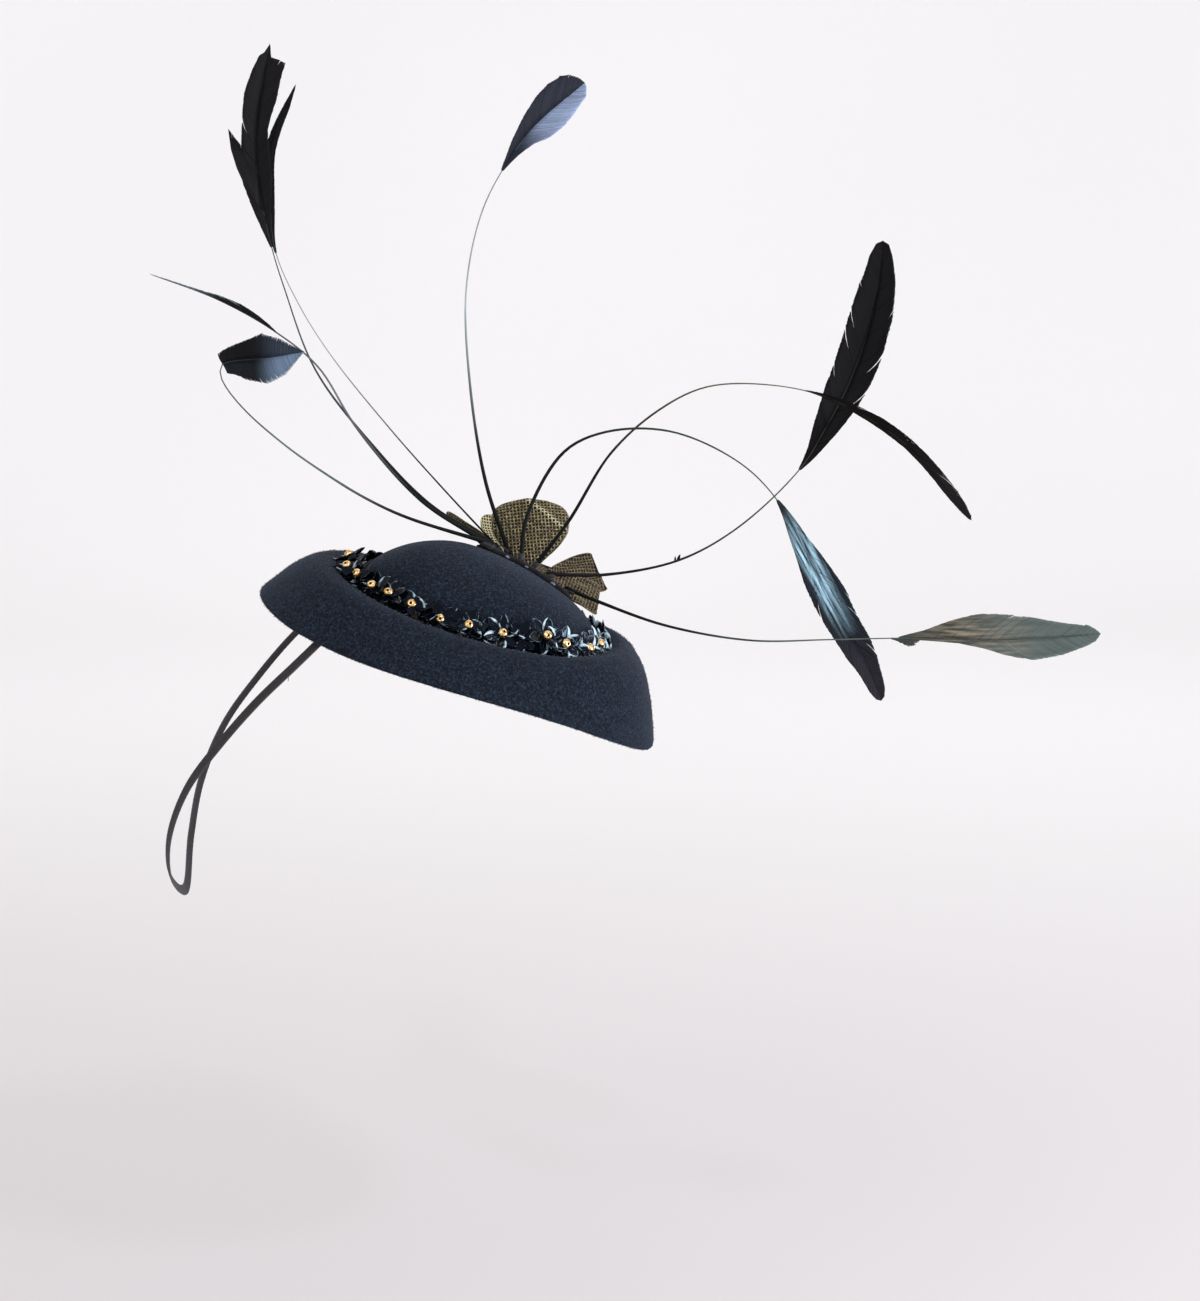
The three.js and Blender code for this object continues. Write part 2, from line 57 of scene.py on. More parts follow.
camera = {"place": (57.5, -943.5, 233.6), "lookDown": 13.5, "lens": 66.41, "sensor": 36}
lens = bpy.data.cameras.new("studioCamera")
lens.lens = camera["lens"]
lens.sensor_width = camera["sensor"]
eye = newObject("studioCamera", lens)
eye.location = [value / metre for value in camera["place"]]
eye.rotation_euler = (math.radians(90 - camera["lookDown"]), 0, 0)
bpy.context.scene.camera = eye
bpy.context.scene.view_settings.view_transform = "Standard"


def fromHex(code):
    channels = [int(code[k:k + 2], 16) / 255 for k in (1, 3, 5)]
    linear = [c / 12.92 if c <= 0.04045 else ((c + 0.055) / 1.055) ** 2.4 for c in channels]
    return (*linear, 1)


# Gives sockets of a node a value, a hex colour or what another node gives.
def setSockets(node, sockets):
    for name, value in sockets.items():
        if isinstance(value, bpy.types.Node):
            value = next(output for output in value.outputs if output.enabled)
        if isinstance(value, bpy.types.NodeSocket):
            node.id_data.links.new(value, node.inputs[name])
        else:
            node.inputs[name].default_value = fromHex(value) if isinstance(value, str) else value


# Adds one node; stops fill a colour ramp, and a mix of colours takes the two of them on sockets 6 and 7.
def addNode(tree, kind, sockets=None, stops=(), **settings):
    node = tree.nodes.new("ShaderNode" + kind)
    for name, value in settings.items():
        setattr(node, name, value)
    setSockets(node, sockets or {})
    if stops:
        elements = node.color_ramp.elements
        while len(elements) < len(stops):
            elements.new(0.5)
        for element, (place, code) in zip(elements, stops):
            element.position = place
            element.color = fromHex(code)
    return node


# A material on one principled shader, with what is the same all over set on its own sockets.
def newFinish(name, sockets):
    material = bpy.data.materials.new(name)
    material.use_nodes = True
    tree = material.node_tree
    tree.nodes.clear()
    surface = addNode(tree, "BsdfPrincipled", sockets)
    addNode(tree, "OutputMaterial", {"Surface": surface})
    return material, tree, surface


# The scale of noise whose grain is so many millimetres across, on the piece's own coordinates.
def grainScale(size):
    return metre / size


# A finish whose colour runs over the stops with noise of one grain size, given in millimetres.
def mottledFinish(name, sockets, grain, stops, **noiseSockets):
    material, tree, surface = newFinish(name, sockets)
    mottle = addNode(tree, "TexNoise", {"Vector": addNode(tree, "TexCoord").outputs["Object"],
                                        "Scale": grainScale(grain), **noiseSockets})
    tone = addNode(tree, "ValToRGB", {"Fac": mottle}, stops)
    setSockets(surface, {"Base Color": tone})
    return material, tree, surface, mottle, tone


studio = {
    "floorHigh": -330, "near": -2600, "bend": 1500, "bendRadius": 700, "wallHigh": 2600, "halfWide": 3200,
    "paper": "#f9f8f9", "paperShade": "#f5f4f5", "paperGrain": 900, "air": "#fcfafa", "airStrength": 0.92,
    "floorPaintedShade": "#d3cfd0", "floorTo": 100, "wallFrom": 1300,
}
lamps = [
    # name, place, aim, size, power in watts, colour
    ("keyLamp", (-700, -950, 950), (20, 0, 40), 700, 3.5, "#ffffff"),
    ("fillLamp", (1200, -420, -40), (60, 0, 20), 400, 12.5, "#f2f6ff"),
    ("glintLamp", (500, -650, 900), (20, 0, 40), 90, 2, "#e6f2ff"),
    ("backLamp", (300, 1000, 900), (30, 0, 60), 700, 1.5, "#ffffff"),
]
for name, place, aim, size, power, code in lamps:
    light = bpy.data.lights.new(name, "AREA")
    light.size = size / metre
    light.energy = power
    light.color = fromHex(code)[:3]
    lamp = newObject(name, light)
    lamp.location = Vector(place) / metre
    lamp.rotation_euler = (Vector(aim) - Vector(place)).to_track_quat("-Z", "Y").to_euler()
    lamp.visible_camera = False

world = bpy.data.worlds.new("studioAir")
world.use_nodes = True
world.node_tree.nodes.clear()
air = addNode(world.node_tree, "Background", {"Color": studio["air"], "Strength": studio["airStrength"]})
addNode(world.node_tree, "OutputWorld", {"Surface": air})
bpy.context.scene.world = world

# Matt paper sweep: floor, one wide bend and wall
paper, paperTree, paperSurface, _, paperTone = mottledFinish(
    "mattPaperSweep", {"Roughness": 0.95, "Specular IOR Level": 0.1}, studio["paperGrain"],
    [(0.3, studio["paperShade"]), (0.7, studio["paper"])], Detail=1)
# painted shade: the floor's end of the sheet is drawn a shade greyer, to tone down the lamps' stronger light on it
paperPlace = addNode(paperTree, "SeparateXYZ", {"Vector": addNode(paperTree, "TexCoord").outputs["Object"]})
floorShadeShare = addNode(paperTree, "MapRange", {
    "Value": paperPlace.outputs["Y"], "From Min": studio["floorTo"] / metre, "From Max": studio["wallFrom"] / metre},
    interpolation_type="SMOOTHSTEP")
paperColour = addNode(paperTree, "Mix", {"Factor": floorShadeShare, 6: studio["floorPaintedShade"], 7: paperTone},
                      data_type="RGBA")
setSockets(paperSurface, {"Base Color": paperColour})
sweep = [(studio["near"], studio["floorHigh"]), (studio["bend"], studio["floorHigh"])]
radius, bendSteps = studio["bendRadius"], 12
for step in range(1, bendSteps + 1):
    turn = math.radians(90 * step / bendSteps)
    sweep.append((studio["bend"] + radius * math.sin(turn), studio["floorHigh"] + radius * (1 - math.cos(turn))))
sweep.append((studio["bend"] + radius, studio["wallHigh"]))
sweepPoints = [(x * studio["halfWide"] / metre, y / metre, z / metre) for y, z in sweep for x in (-1, 1)]
sweepFaces = [(2 * k, 2 * k + 1, 2 * k + 3, 2 * k + 2) for k in range(len(sweep) - 1)]
floorMesh = bpy.data.meshes.new("paperSweep")
floorMesh.from_pydata(sweepPoints, [], sweepFaces)
floorMesh.materials.append(paper)
floorMesh.polygons.foreach_set("use_smooth", [True] * len(floorMesh.polygons))
newObject("paperSweep", floorMesh)
print("stage: camera, lamps and paper sweep")


# Tools for closed meshes

# Even turns round a circle
def turnsOf(count):
    return [2 * math.pi * k / count for k in range(count)]


# Adds a skin over a row of rings to points and faces: a loop, or closed with a fan at each end.
def addSkin(points, faces, rings, loop=False):
    first = len(points)
    sides = len(rings[0])
    for ring in rings:
        points.extend(ring)
    spans = len(rings) if loop else len(rings) - 1
    for i in range(spans):
        here = first + i * sides
        there = first + (i + 1) % len(rings) * sides
        for k in range(sides):
            m = (k + 1) % sides
            faces.append((here + k, here + m, there + m, there + k))
    if not loop:
        for ring, start, back in ((rings[0], first, True), (rings[-1], first + (len(rings) - 1) * sides, False)):
            middle = sum(ring, Vector()) / sides
            points.append(middle)
            for k in range(sides):
                m = (k + 1) % sides
                pair = (start + m, start + k) if back else (start + k, start + m)
                faces.append((*pair, len(points) - 1))


# Points and faces of one mesh, with a skin over each row of rings.
def skinned(rows, loop=False):
    points, faces = [], []
    for rings in rows:
        addSkin(points, faces, rings, loop)
    return points, faces


# A piece that rides on the hat, from millimetre points; marks are numbers by point for its finish.
def newPiece(name, points, faces, finishes, slot, replaced=(), finishOf=None, marks=None):
    mesh = bpy.data.meshes.new(name)
    mesh.from_pydata([point / metre for point in points], [], faces)
    for finish in finishes:
        mesh.materials.append(finish)
    if finishOf:
        mesh.polygons.foreach_set("material_index", finishOf)
    for mark, values in (marks or {}).items():
        mesh.attributes.new(mark, "FLOAT", "POINT").data.foreach_set("value", values)
    shell = bmesh.new()
    shell.from_mesh(mesh)
    bmesh.ops.recalc_face_normals(shell, faces=shell.faces)
    shell.to_mesh(mesh)
    shell.free()
    mesh.polygons.foreach_set("use_smooth", [True] * len(mesh.polygons))
    piece = newObject(name, mesh)
    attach(piece, "root")
    if replaced:
        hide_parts(*replaced)


# Centripetal curve through the knots, as a fine row of points.
def smoothPath(knots, perSpan=20):
    ends = [2 * knots[0] - knots[1], *knots, 2 * knots[-1] - knots[-2]]
    path = []
    for a, b, c, d in zip(ends, ends[1:], ends[2:], ends[3:]):
        ab, bc, cd = (max((q - p).length, 1e-6) ** 0.5 for p, q in ((a, b), (b, c), (c, d)))
        leave = ((b - a) / ab - (c - a) / (ab + bc) + (c - b) / bc) * bc
        arrive = ((c - b) / bc - (d - b) / (bc + cd) + (d - c) / cd) * bc
        for k in range(perSpan):
            t = k / perSpan
            path.append(b * (2 * t ** 3 - 3 * t ** 2 + 1) + leave * (t ** 3 - 2 * t ** 2 + t)
                        + c * (3 * t ** 2 - 2 * t ** 3) + arrive * (t ** 3 - t ** 2))
    path.append(knots[-1].copy())
    return path


def pathRuns(path):
    runs = [0]
    for a, b in zip(path, path[1:]):
        runs.append(runs[-1] + (b - a).length)
    return runs


# Place and direction at a distance along a path.
def onPath(path, runs, distance):
    k = min(max(bisect_right(runs, distance) - 1, 0), len(path) - 2)
    share = (distance - runs[k]) / max(runs[k + 1] - runs[k], 1e-9)
    step = path[k + 1] - path[k]
    before = path[k] - path[k - 1] if k > 0 else step
    after = path[k + 2] - path[k + 1] if k < len(path) - 2 else step
    heading = before.normalized() * (1 - share) + 2 * step.normalized() + after.normalized() * share
    return path[k] + step * share, heading.normalized()


# Rings of a round tube along a path, with a radius for each of its points.
def tubeRings(path, radii, sides):
    rings = []
    side = Vector((0.3, 1, 0.2)).normalized()
    for k, point in enumerate(path):
        ahead = (path[min(k + 1, len(path) - 1)] - path[max(k - 1, 0)]).normalized()
        side = (side - ahead * side.dot(ahead)).normalized()
        other = ahead.cross(side)
        rings.append([point + radii[k] * (math.cos(turn) * side + math.sin(turn) * other) for turn in turnsOf(sides)])
    return rings


# Rings of a unit ball about the X axis, without its poles; scaled, turned and rippled they make a lump.
def ballRings(rows, sides):
    lifts = [math.pi * row / rows for row in range(1, rows)]
    return [[Vector((math.cos(lift), math.sin(lift) * math.cos(turn), math.sin(lift) * math.sin(turn)))
             for turn in turnsOf(sides)] for lift in lifts]


# The row of a table at a share, between the rows before and after it.
def rowAt(rows, share):
    if share <= rows[0][0]:
        return rows[0]
    for a, b in zip(rows, rows[1:]):
        if share <= b[0]:
            mix = (share - a[0]) / (b[0] - a[0])
            return [p + (q - p) * mix for p, q in zip(a, b)]
    return rows[-1]


# Felt body

felt = {
    "pitch": 22, "wall": 2, "hemRound": 0.55, "sides": 200, "perSpan": 5, "crownSteps": 44,
    "peak": 48.6, "peakX": -8, "power": 0.66, "footShare": 0.992, "footDown": 1.6, "deepest": 3.5,
    "dentSize": 18, "dent": 0.2, "fineDentSize": 5, "fineDent": 0.06,
}
# front, back, side, height at the front, back and side, arch between them, fullness
bandRows = [
    (83.4, 83.4, 66.4, 0, 0, 7, 8, 1),
    (85, 85, 68, 1.3, 1.3, 8, 7.5, 1),
    (81.2, 82, 64.4, 9.5, 6.6, 12, 5, 1.02),
    (76.6, 78.4, 60.4, 18, 12.4, 16.6, 2.5, 1.05),
    (71.4, 74.4, 56.4, 26, 17.2, 20.4, 1, 1.1),
    (65.8, 70.2, 52.8, 31.2, 20.8, 23.1, 0, 1.13),
    (61.4, 66, 49.8, 33.7, 22.6, 24.2, 0, 1.14),
    (58.2, 62.2, 46.8, 34.1, 22.9, 24.2, 0, 1.14),
    (55, 58.4, 43.6, 32.8, 21.6, 22.6, 0, 1.12),
    (52, 55.2, 41, 30.2, 19.4, 20.4, 0, 1.1),
    (48.4, 51.6, 38.4, 29, 18.4, 19.2, 0, 1.1),
    (43.6, 47, 34.6, 28.6, 18, 18.8, 0, 1.1),
]
crownRow = (47.2, 50.4, 38, 31.8, 21.4, 22, 0, 1.1)
tip = Matrix.Rotation(math.radians(felt["pitch"]), 3, "Y")
untip = tip.inverted()


# A piece whose points are in the hat's own frame, which is square to the rim.
def newHatPiece(name, points, *details, **more):
    newPiece(name, [tip @ point for point in points], *details, **more)


# Pushes a cosine or sine outward, so that an oval gets fuller corners.
def fuller(value, full):
    return math.copysign(abs(value) ** (1 / full), value)


# A point of an oval ring in the hat's own frame.
def ringPoint(row, angle):
    front, back, side, frontUp, backUp, sideUp, arch, full = row
    along = fuller(math.cos(angle), full)
    level = (frontUp + backUp) / 2
    high = sideUp + (frontUp - backUp) / 2 * along + (level - sideUp) * along ** 2
    high += arch * along * (1 - along ** 2)
    return Vector(((front if along > 0 else back) * along, side * fuller(math.sin(angle), full), high))


# A table's rows with more between them, on a smooth curve through each column.
def fineRows(rows, perSpan):
    fine = []
    for i in range(len(rows) - 1):
        around = [rows[min(max(i + k, 0), len(rows) - 1)] for k in (-1, 0, 1, 2)]
        for k in range(perSpan):
            t = k / perSpan
            fine.append([0.5 * (2 * q + (r - p) * t + (2 * p - 5 * q + 4 * r - s) * t ** 2
                                + (3 * q - p - 3 * r + s) * t ** 3) for p, q, r, s in zip(*around)])
    fine.append(rows[-1])
    return fine


# The same rings a wall's thickness further in.
def movedIn(rings, wall):
    sides = len(rings[0])
    moved = []
    for i, ring in enumerate(rings):
        before, after = rings[max(i - 1, 0)], rings[min(i + 1, len(rings) - 1)]
        row = []
        for k, point in enumerate(ring):
            around = ring[(k + 1) % sides] - ring[k - 1]
            row.append(point - around.cross(after[k] - before[k]).normalized() * wall)
        moved.append(row)
    return moved


# Hand-blocked felt is never quite even: slow dents, and finer ones from the steam and fingers.
def handBlocked(point):
    slow = noise.noise_vector(point / felt["dentSize"]) * felt["dent"]
    fine = noise.noise_vector(point / felt["fineDentSize"] + Vector((9, 4, 2))) * felt["fineDent"]
    return point + slow + fine


# A point of the crown's outer face, at a share of the way from its peak to its edge.
def domePoint(share, angle):
    edge = ringPoint(crownRow, angle)
    rise = max(1 - share ** 2, 0) ** felt["power"]
    return Vector((felt["peakX"] * (1 - share) + edge.x * share, edge.y * share,
                   edge.z + (felt["peak"] - edge.z) * rise))


# The crown's outer face under (x, y) in the hat's own frame, lifted off it.
def onCrown(x, y, lift):
    front, back, side, *_, full = crownRow
    share = angle = 0
    for _ in range(12):
        middle = felt["peakX"] * (1 - share)
        reach = front if x > middle else back
        along = math.copysign(abs((x - middle) / reach) ** full, x - middle)
        across = math.copysign(abs(y / side) ** full, y)
        angle = math.atan2(across, along)
        share = math.hypot(across, along) ** (1 / full)
    return Vector((x, y, domePoint(min(share, 1), angle).z + lift))


angles = turnsOf(felt["sides"])
bandOuter = [[ringPoint(row, angle) for angle in angles] for row in fineRows(bandRows, felt["perSpan"])]
bandInner = movedIn(bandOuter, felt["wall"])
# the hem is turned, so its edge is round
hem = [[(a + b) / 2 + Vector((0, 0, -felt["hemRound"])) for a, b in zip(bandOuter[0], bandInner[0])]]
bandRings = [[handBlocked(point) for point in ring] for ring in bandOuter + bandInner[::-1] + hem]

crownShares = [(k + 0.5) / felt["crownSteps"] for k in range(felt["crownSteps"] - 4)]
crownShares += [0.925, 0.95, 0.97, 0.985, 0.995, 1]
crownOuter = [[domePoint(share, angle) for angle in angles] for share in crownShares]
# its edge turns down into the groove
crownOuter.append([Vector((p.x * felt["footShare"], p.y * felt["footShare"], p.z - felt["footDown"]))
                   for p in crownOuter[-1]])
crownInner = movedIn(crownOuter, -felt["wall"])
crownRings = [[handBlocked(point) for point in ring] for ring in crownOuter + crownInner[::-1]]

# Wool felt, blocked with steam: matt, with short loose fibres that catch light at grazing angles.
# Its flecks are about 0.3 mm across in real felt, and drawn as coarse as they need to be to show.
feltLook = {
    "shade": "#080b11", "body": "#0d1119", "light": "#131923", "fibre": "#324256",
    "clump": 2.2, "fleck": 0.95, "napDepth": 0.34, "clumpDepth": 0.16,
}
woolFelt, feltTree, feltSurface, clump, feltTone = mottledFinish("woolFeltBlocked", {
    "Roughness": 0.96, "Specular IOR Level": 0.14, "Sheen Weight": 0.17, "Sheen Roughness": 0.42,
    "Sheen Tint": "#8e9cb8"}, feltLook["clump"],
    [(0.24, feltLook["shade"]), (0.5, feltLook["body"]), (0.8, feltLook["light"])], Detail=5, Roughness=0.62)
fleck = addNode(feltTree, "TexNoise", {
    "Vector": addNode(feltTree, "TexCoord").outputs["Object"], "Scale": grainScale(feltLook["fleck"]),
    "Detail": 3, "Roughness": 0.7, "Distortion": 0.8})
fleckMask = addNode(feltTree, "ValToRGB", {"Fac": fleck}, [(0.47, "#000000"), (0.66, "#c8c8c8")])
feltColour = addNode(feltTree, "Mix", {"Factor": fleckMask, 6: feltTone, 7: feltLook["fibre"]}, data_type="RGBA")
clumpBump = addNode(feltTree, "Bump", {
    "Height": clump, "Strength": 0.5, "Distance": feltLook["clumpDepth"] / metre})
napBump = addNode(feltTree, "Bump", {
    "Height": fleck, "Strength": 0.8, "Distance": feltLook["napDepth"] / metre, "Normal": clumpBump})
setSockets(feltSurface, {"Base Color": feltColour, "Normal": napBump})

bandPoints, bandFaces = skinned([bandRings], loop=True)
newHatPiece("feltSideBand", bandPoints, bandFaces, [woolFelt], "felt", ["side_band"])
crownPoints, crownFaces = skinned([crownRings])
newHatPiece("feltCrown", crownPoints, crownFaces, [woolFelt], "felt", ["crown"])
feltShape = BVHTree.FromPolygons(bandPoints + crownPoints, bandFaces + [
    tuple(corner + len(bandPoints) for corner in face) for face in crownFaces])
print("felt: side band and crown")


# Moves a point of the hat's own frame off the felt, if it lies in it or nearer than the gap.
def clearOfFelt(point, gap):
    spot, normal, _, _ = feltShape.find_nearest(point)
    # the normal is turned to point away from a spot well inside the hat
    inside = Vector((spot.x * 0.2, spot.y * 0.2, spot.z - 40))
    if normal.dot(spot - inside) < 0:
        normal = -normal
    height = (point - spot).dot(normal)
    # a point deep in the felt is left where it is, so that no blade is pulled out into a spike
    return point if height >= gap or height < -felt["deepest"] else point + normal * (gap - height)


# Loose fibres of the nap, which soften the felt's outline
nap = {"bandCount": 15000, "crownCount": 5000, "length": 0.9, "thick": 0.05, "lift": 0.45, "rootIn": 0.1}


def addNap(name, rings, count, seed):
    dice = random.Random(seed)
    points, faces = [], []
    sides = len(rings[0])
    for _ in range(count):
        i, k = dice.randrange(len(rings) - 1), dice.randrange(sides)
        a, b, c = rings[i][k], rings[i][(k + 1) % sides], rings[i + 1][k]
        root = a + (b - a) * dice.random() + (c - a) * dice.random()
        normal = (b - a).cross(c - a).normalized()
        lean = Vector((dice.uniform(-1, 1), dice.uniform(-1, 1), dice.uniform(-1, 1)))
        lean = (lean - normal * lean.dot(normal)).normalized()
        length = nap["length"] * dice.uniform(0.5, 1.3)
        lift = nap["lift"] * dice.uniform(0.3, 1.2)
        knee = root + lean * length * 0.5 + normal * lift * 0.8
        end = root + lean * length + normal * lift
        wide = lean.cross(normal) * nap["thick"]
        rooted = root - normal * nap["rootIn"]
        first = len(points)
        points.extend([rooted - wide, rooted + wide, knee, end])
        faces.extend([tuple(first + corner for corner in corners)
                      for corners in ((0, 1, 2), (0, 2, 3), (1, 3, 2), (0, 3, 1))])
    newHatPiece(name, points, faces, [napFibre], "felt")


napFibre = newFinish("looseWoolFibre", {
    "Base Color": "#222935", "Roughness": 0.9, "Specular IOR Level": 0.2, "Sheen Weight": 0.2})[0]
addNap("sideBandNap", bandRings[:len(bandOuter)], nap["bandCount"], 3)
addNap("crownNap", crownRings[:len(crownOuter)], nap["crownCount"], 5)
print("felt: nap")


# Sequin flowers and gold beads round the groove

trim = {
    "petals": 6, "start": 0.8, "reach": 8.1, "halfWidth": 2.25, "thick": 0.16, "rise": 2.1, "cup": 0.34,
    "ribHigh": 0.16, "tipHalf": 0.22, "steps": 7, "tilt": 44, "beadTilt": 62, "seat": 1.5, "gap": 0.25,
    "front": 50.6, "side": 41.6, "fillReach": 0.86, "fillDown": 1.2, "fillApart": 1.6, "fillTilts": (12, 56),
    "darkUpTo": -30, "brightOver": 90, "brightest": 0.85, "farBack": 0.62, "farFront": 0.8,
}
# two flowers at the ends that face away have lost their beads
bareFlowers = (13, 24)
# middles of the beads in the hat's own frame: back, then along the near side to the front
beadPlaces = [
    (-57, 0, 27), (-56, -13, 25.4), (-51, -22, 26), (-44, -30, 25.7), (-37, -34, 26.3), (-27, -39, 26.6),
    (-15, -42, 25.9), (-4, -43, 28), (9.5, -42, 29.6), (26, -37, 34.2), (34, -33, 33), (44, -25.4, 33),
    (48, -14, 33.8), (51, 0, 34), (48, 14, 33), (43, 25, 31.4), (34, 33, 30.4), (22, 38.5, 29.4),
    (9.5, 41.5, 28.8), (-4, 42.5, 27.8), (-17, 42, 27), (-29, 39.5, 26.5), (-39, 34.5, 24.8), (-48, 27, 23.6),
    (-54, 17, 21.6),
]
dice = random.Random(11)


# The flower's petals as closed cupped blades about the Z axis; also each point's painted highlight, on the rims, the
# rib and one half of some petals
def sequinPetals(turn, lift, size):
    petals = []
    for k in range(trim["petals"]):
        angle = turn + 2 * math.pi * k / trim["petals"] + dice.uniform(-0.12, 0.12)
        reach = trim["reach"] * size * dice.uniform(0.86, 1.06)
        # which half of the petal, if any, gets a painted highlight
        shine = dice.choice((-1, 0, 1)) * dice.uniform(0.8, 1.15)
        rise = trim["rise"] * lift * dice.uniform(0.4, 1.5)
        twist = dice.uniform(-0.25, 0.25)
        rings, paintedGlints = [], []
        for step in range(trim["steps"] + 1):
            share = step / trim["steps"]
            spread = trim["halfWidth"] * (math.sin(math.pi * min(share * 0.86 + 0.1, 1)) ** 0.8) + 0.03
            if step == trim["steps"]:
                spread = trim["tipHalf"]
            along = trim["start"] + (reach - trim["start"]) * share
            ring, paintedGlint = [], []
            for side, face in [(v, 1) for v in (-1, -0.6, -0.2, 0, 0.2, 0.6, 1)] + [(v, -1) for v in (0.6, 0, -0.6)]:
                across = side * spread
                high = rise * share ** 1.6 + trim["cup"] * spread * side ** 2 + twist * across * share
                high += trim["ribHigh"] * max(0, 1 - abs(side) * 4) + (0.5 * face) * trim["thick"]
                ring.append(Vector((along * math.cos(angle) - across * math.sin(angle),
                                    along * math.sin(angle) + across * math.cos(angle), high)))
                # painted highlight: rims and rib get a fixed amount, and the chosen half gets a stronger one
                rim = 0.62 if abs(side) == 1 or step == trim["steps"] else 0.5 if side == 0 else 0.0
                lit = abs(shine) * (1.15 if abs(side) == 1 else 0.72)
                paintedGlint.append(max(rim, lit if side * shine > 0.3 and step > 1 else 0.0))
            rings.append(ring)
            paintedGlints.extend(paintedGlint)
        # the middles of the two end caps
        petals.append((rings, paintedGlints + [0.3, 1.0]))
    return petals


# Polished PET sequin, pressed: dark clear film, with painted blue-white highlights on its rims, rib and some petal
# halves
sequinLook = {"film": "#06070b", "smoke": "#10131b", "rim": "#c9e2ef", "smear": 1.9}
sequinFilm, sequinTree, sequinSurface = newFinish("petFilmPressedSequin", {
    "Roughness": 0.1, "IOR": 1.57, "Specular IOR Level": 0.2, "Specular Tint": "#8fa6d0"})
paintedGlintMark, paintedLightTone = (addNode(sequinTree, "Attribute", attribute_name=mark).outputs["Fac"]
                       for mark in ("paintedGlint", "tone"))
smear = addNode(sequinTree, "TexNoise", {
    "Vector": addNode(sequinTree, "TexCoord").outputs["Object"], "Scale": grainScale(sequinLook["smear"]),
    "Detail": 3})
# painted light: the film's tone is lighter where the painted light tone is high, toward the front
filmTone = addNode(sequinTree, "Mix", {"Factor": paintedLightTone, 6: sequinLook["film"], 7: sequinLook["smoke"]},
                   data_type="RGBA")
# painted highlight: the glint mark, broken up by noise and stronger toward the front, mixes in the pale rim colour
paintedGlintSmeared = addNode(sequinTree, "Math", {0: paintedGlintMark, 1: smear}, operation="MULTIPLY")
paintedFrontLight = addNode(sequinTree, "MapRange", {"Value": paintedLightTone, "To Min": 0.5, "To Max": 1.6})
paintedGlintAmount = addNode(sequinTree, "Math", {0: paintedGlintSmeared, 1: paintedFrontLight}, operation="MULTIPLY")
paintedGlintMask = addNode(sequinTree, "ValToRGB", {"Fac": paintedGlintAmount}, [(0.26, "#000000"), (0.54, "#ffffff")])
filmColour = addNode(sequinTree, "Mix", {"Factor": paintedGlintMask, 6: filmTone, 7: sequinLook["rim"]}, data_type="RGBA")
setSockets(sequinSurface, {"Base Color": filmColour})

# Glass bead with a gold lustre, fired on: warm metal with slight unevenness
beadLook = {"gold": "#f4d6a0", "deep": "#c08d4d", "mottle": 0.9}
goldBead, beadTree, beadSurface, beadMottle, _ = mottledFinish(
    "glassBeadGoldLustre", {"Metallic": 1.0, "Roughness": 0.2}, beadLook["mottle"],
    [(0.35, beadLook["deep"]), (0.6, beadLook["gold"])], Detail=2)
beadRough = addNode(beadTree, "MapRange", {"Value": beadMottle, "To Min": 0.13, "To Max": 0.3})
setSockets(beadSurface, {"Roughness": beadRough})

# Waxed polyester thread, twisted: near black with a dull shine
blackThread = mottledFinish(
    "polyesterThreadTwisted", {"Roughness": 0.6, "Specular IOR Level": 0.3, "Sheen Weight": 0.2}, 0.6,
    [(0.35, "#0c0c0f"), (0.65, "#1d1d22")], Detail=1)[0]

bead = {"lift": 0.5, "radius": 2, "hole": 0.6, "squash": 0.86, "sides": 22, "rows": 9, "plug": 0.8}


# A drilled bead's rings round its hole: the outside from end to end, then back through the hole.
def beadRings():
    widest = math.acos(bead["hole"] / bead["radius"])
    rows = [widest * (2 * k / bead["rows"] - 1) for k in range(bead["rows"] + 1)]
    profile = [(bead["radius"] * math.cos(t), bead["radius"] * bead["squash"] * math.sin(t)) for t in rows]
    profile += [(bead["hole"] * 0.9, profile[-1][1] * 0.8), (bead["hole"] * 0.85, 0),
                (bead["hole"] * 0.9, profile[0][1] * 0.8)]
    return [[Vector((radius * math.cos(turn), radius * math.sin(turn), high)) for turn in turnsOf(bead["sides"])]
            for radius, high in profile]


petalPoints, petalFaces, paintedGlints, paintedLightTones = [], [], [], []
beads, beadPlugs = [], []


# One flower round a place of the hat's own frame; larger tilt leans it outward.
def addFlower(place, outward, tilt, reach, paintedBrightness):
    axis = Vector((0, 0, math.cos(tilt))) + outward * math.sin(tilt)
    axis = (axis + Vector((dice.uniform(-0.12, 0.12), dice.uniform(-0.12, 0.12), 0))).normalized()
    stand = axis.to_track_quat("Z", "Y").to_matrix()
    middle = place - axis * trim["seat"]
    for rings, paintedGlint in sequinPetals(dice.uniform(0, 1), dice.uniform(0.5, 1.4), reach):
        placed = [[clearOfFelt(middle + stand @ point, trim["gap"]) for point in ring] for ring in rings]
        before = len(petalPoints)
        addSkin(petalPoints, petalFaces, placed)
        paintedGlints.extend(paintedGlint)
        # each petal takes its flower's painted light tone, spread at random
        paintedLightTones.extend([min(1, max(0, paintedBrightness + dice.uniform(-0.35, 0.35)))] * (len(petalPoints) - before))


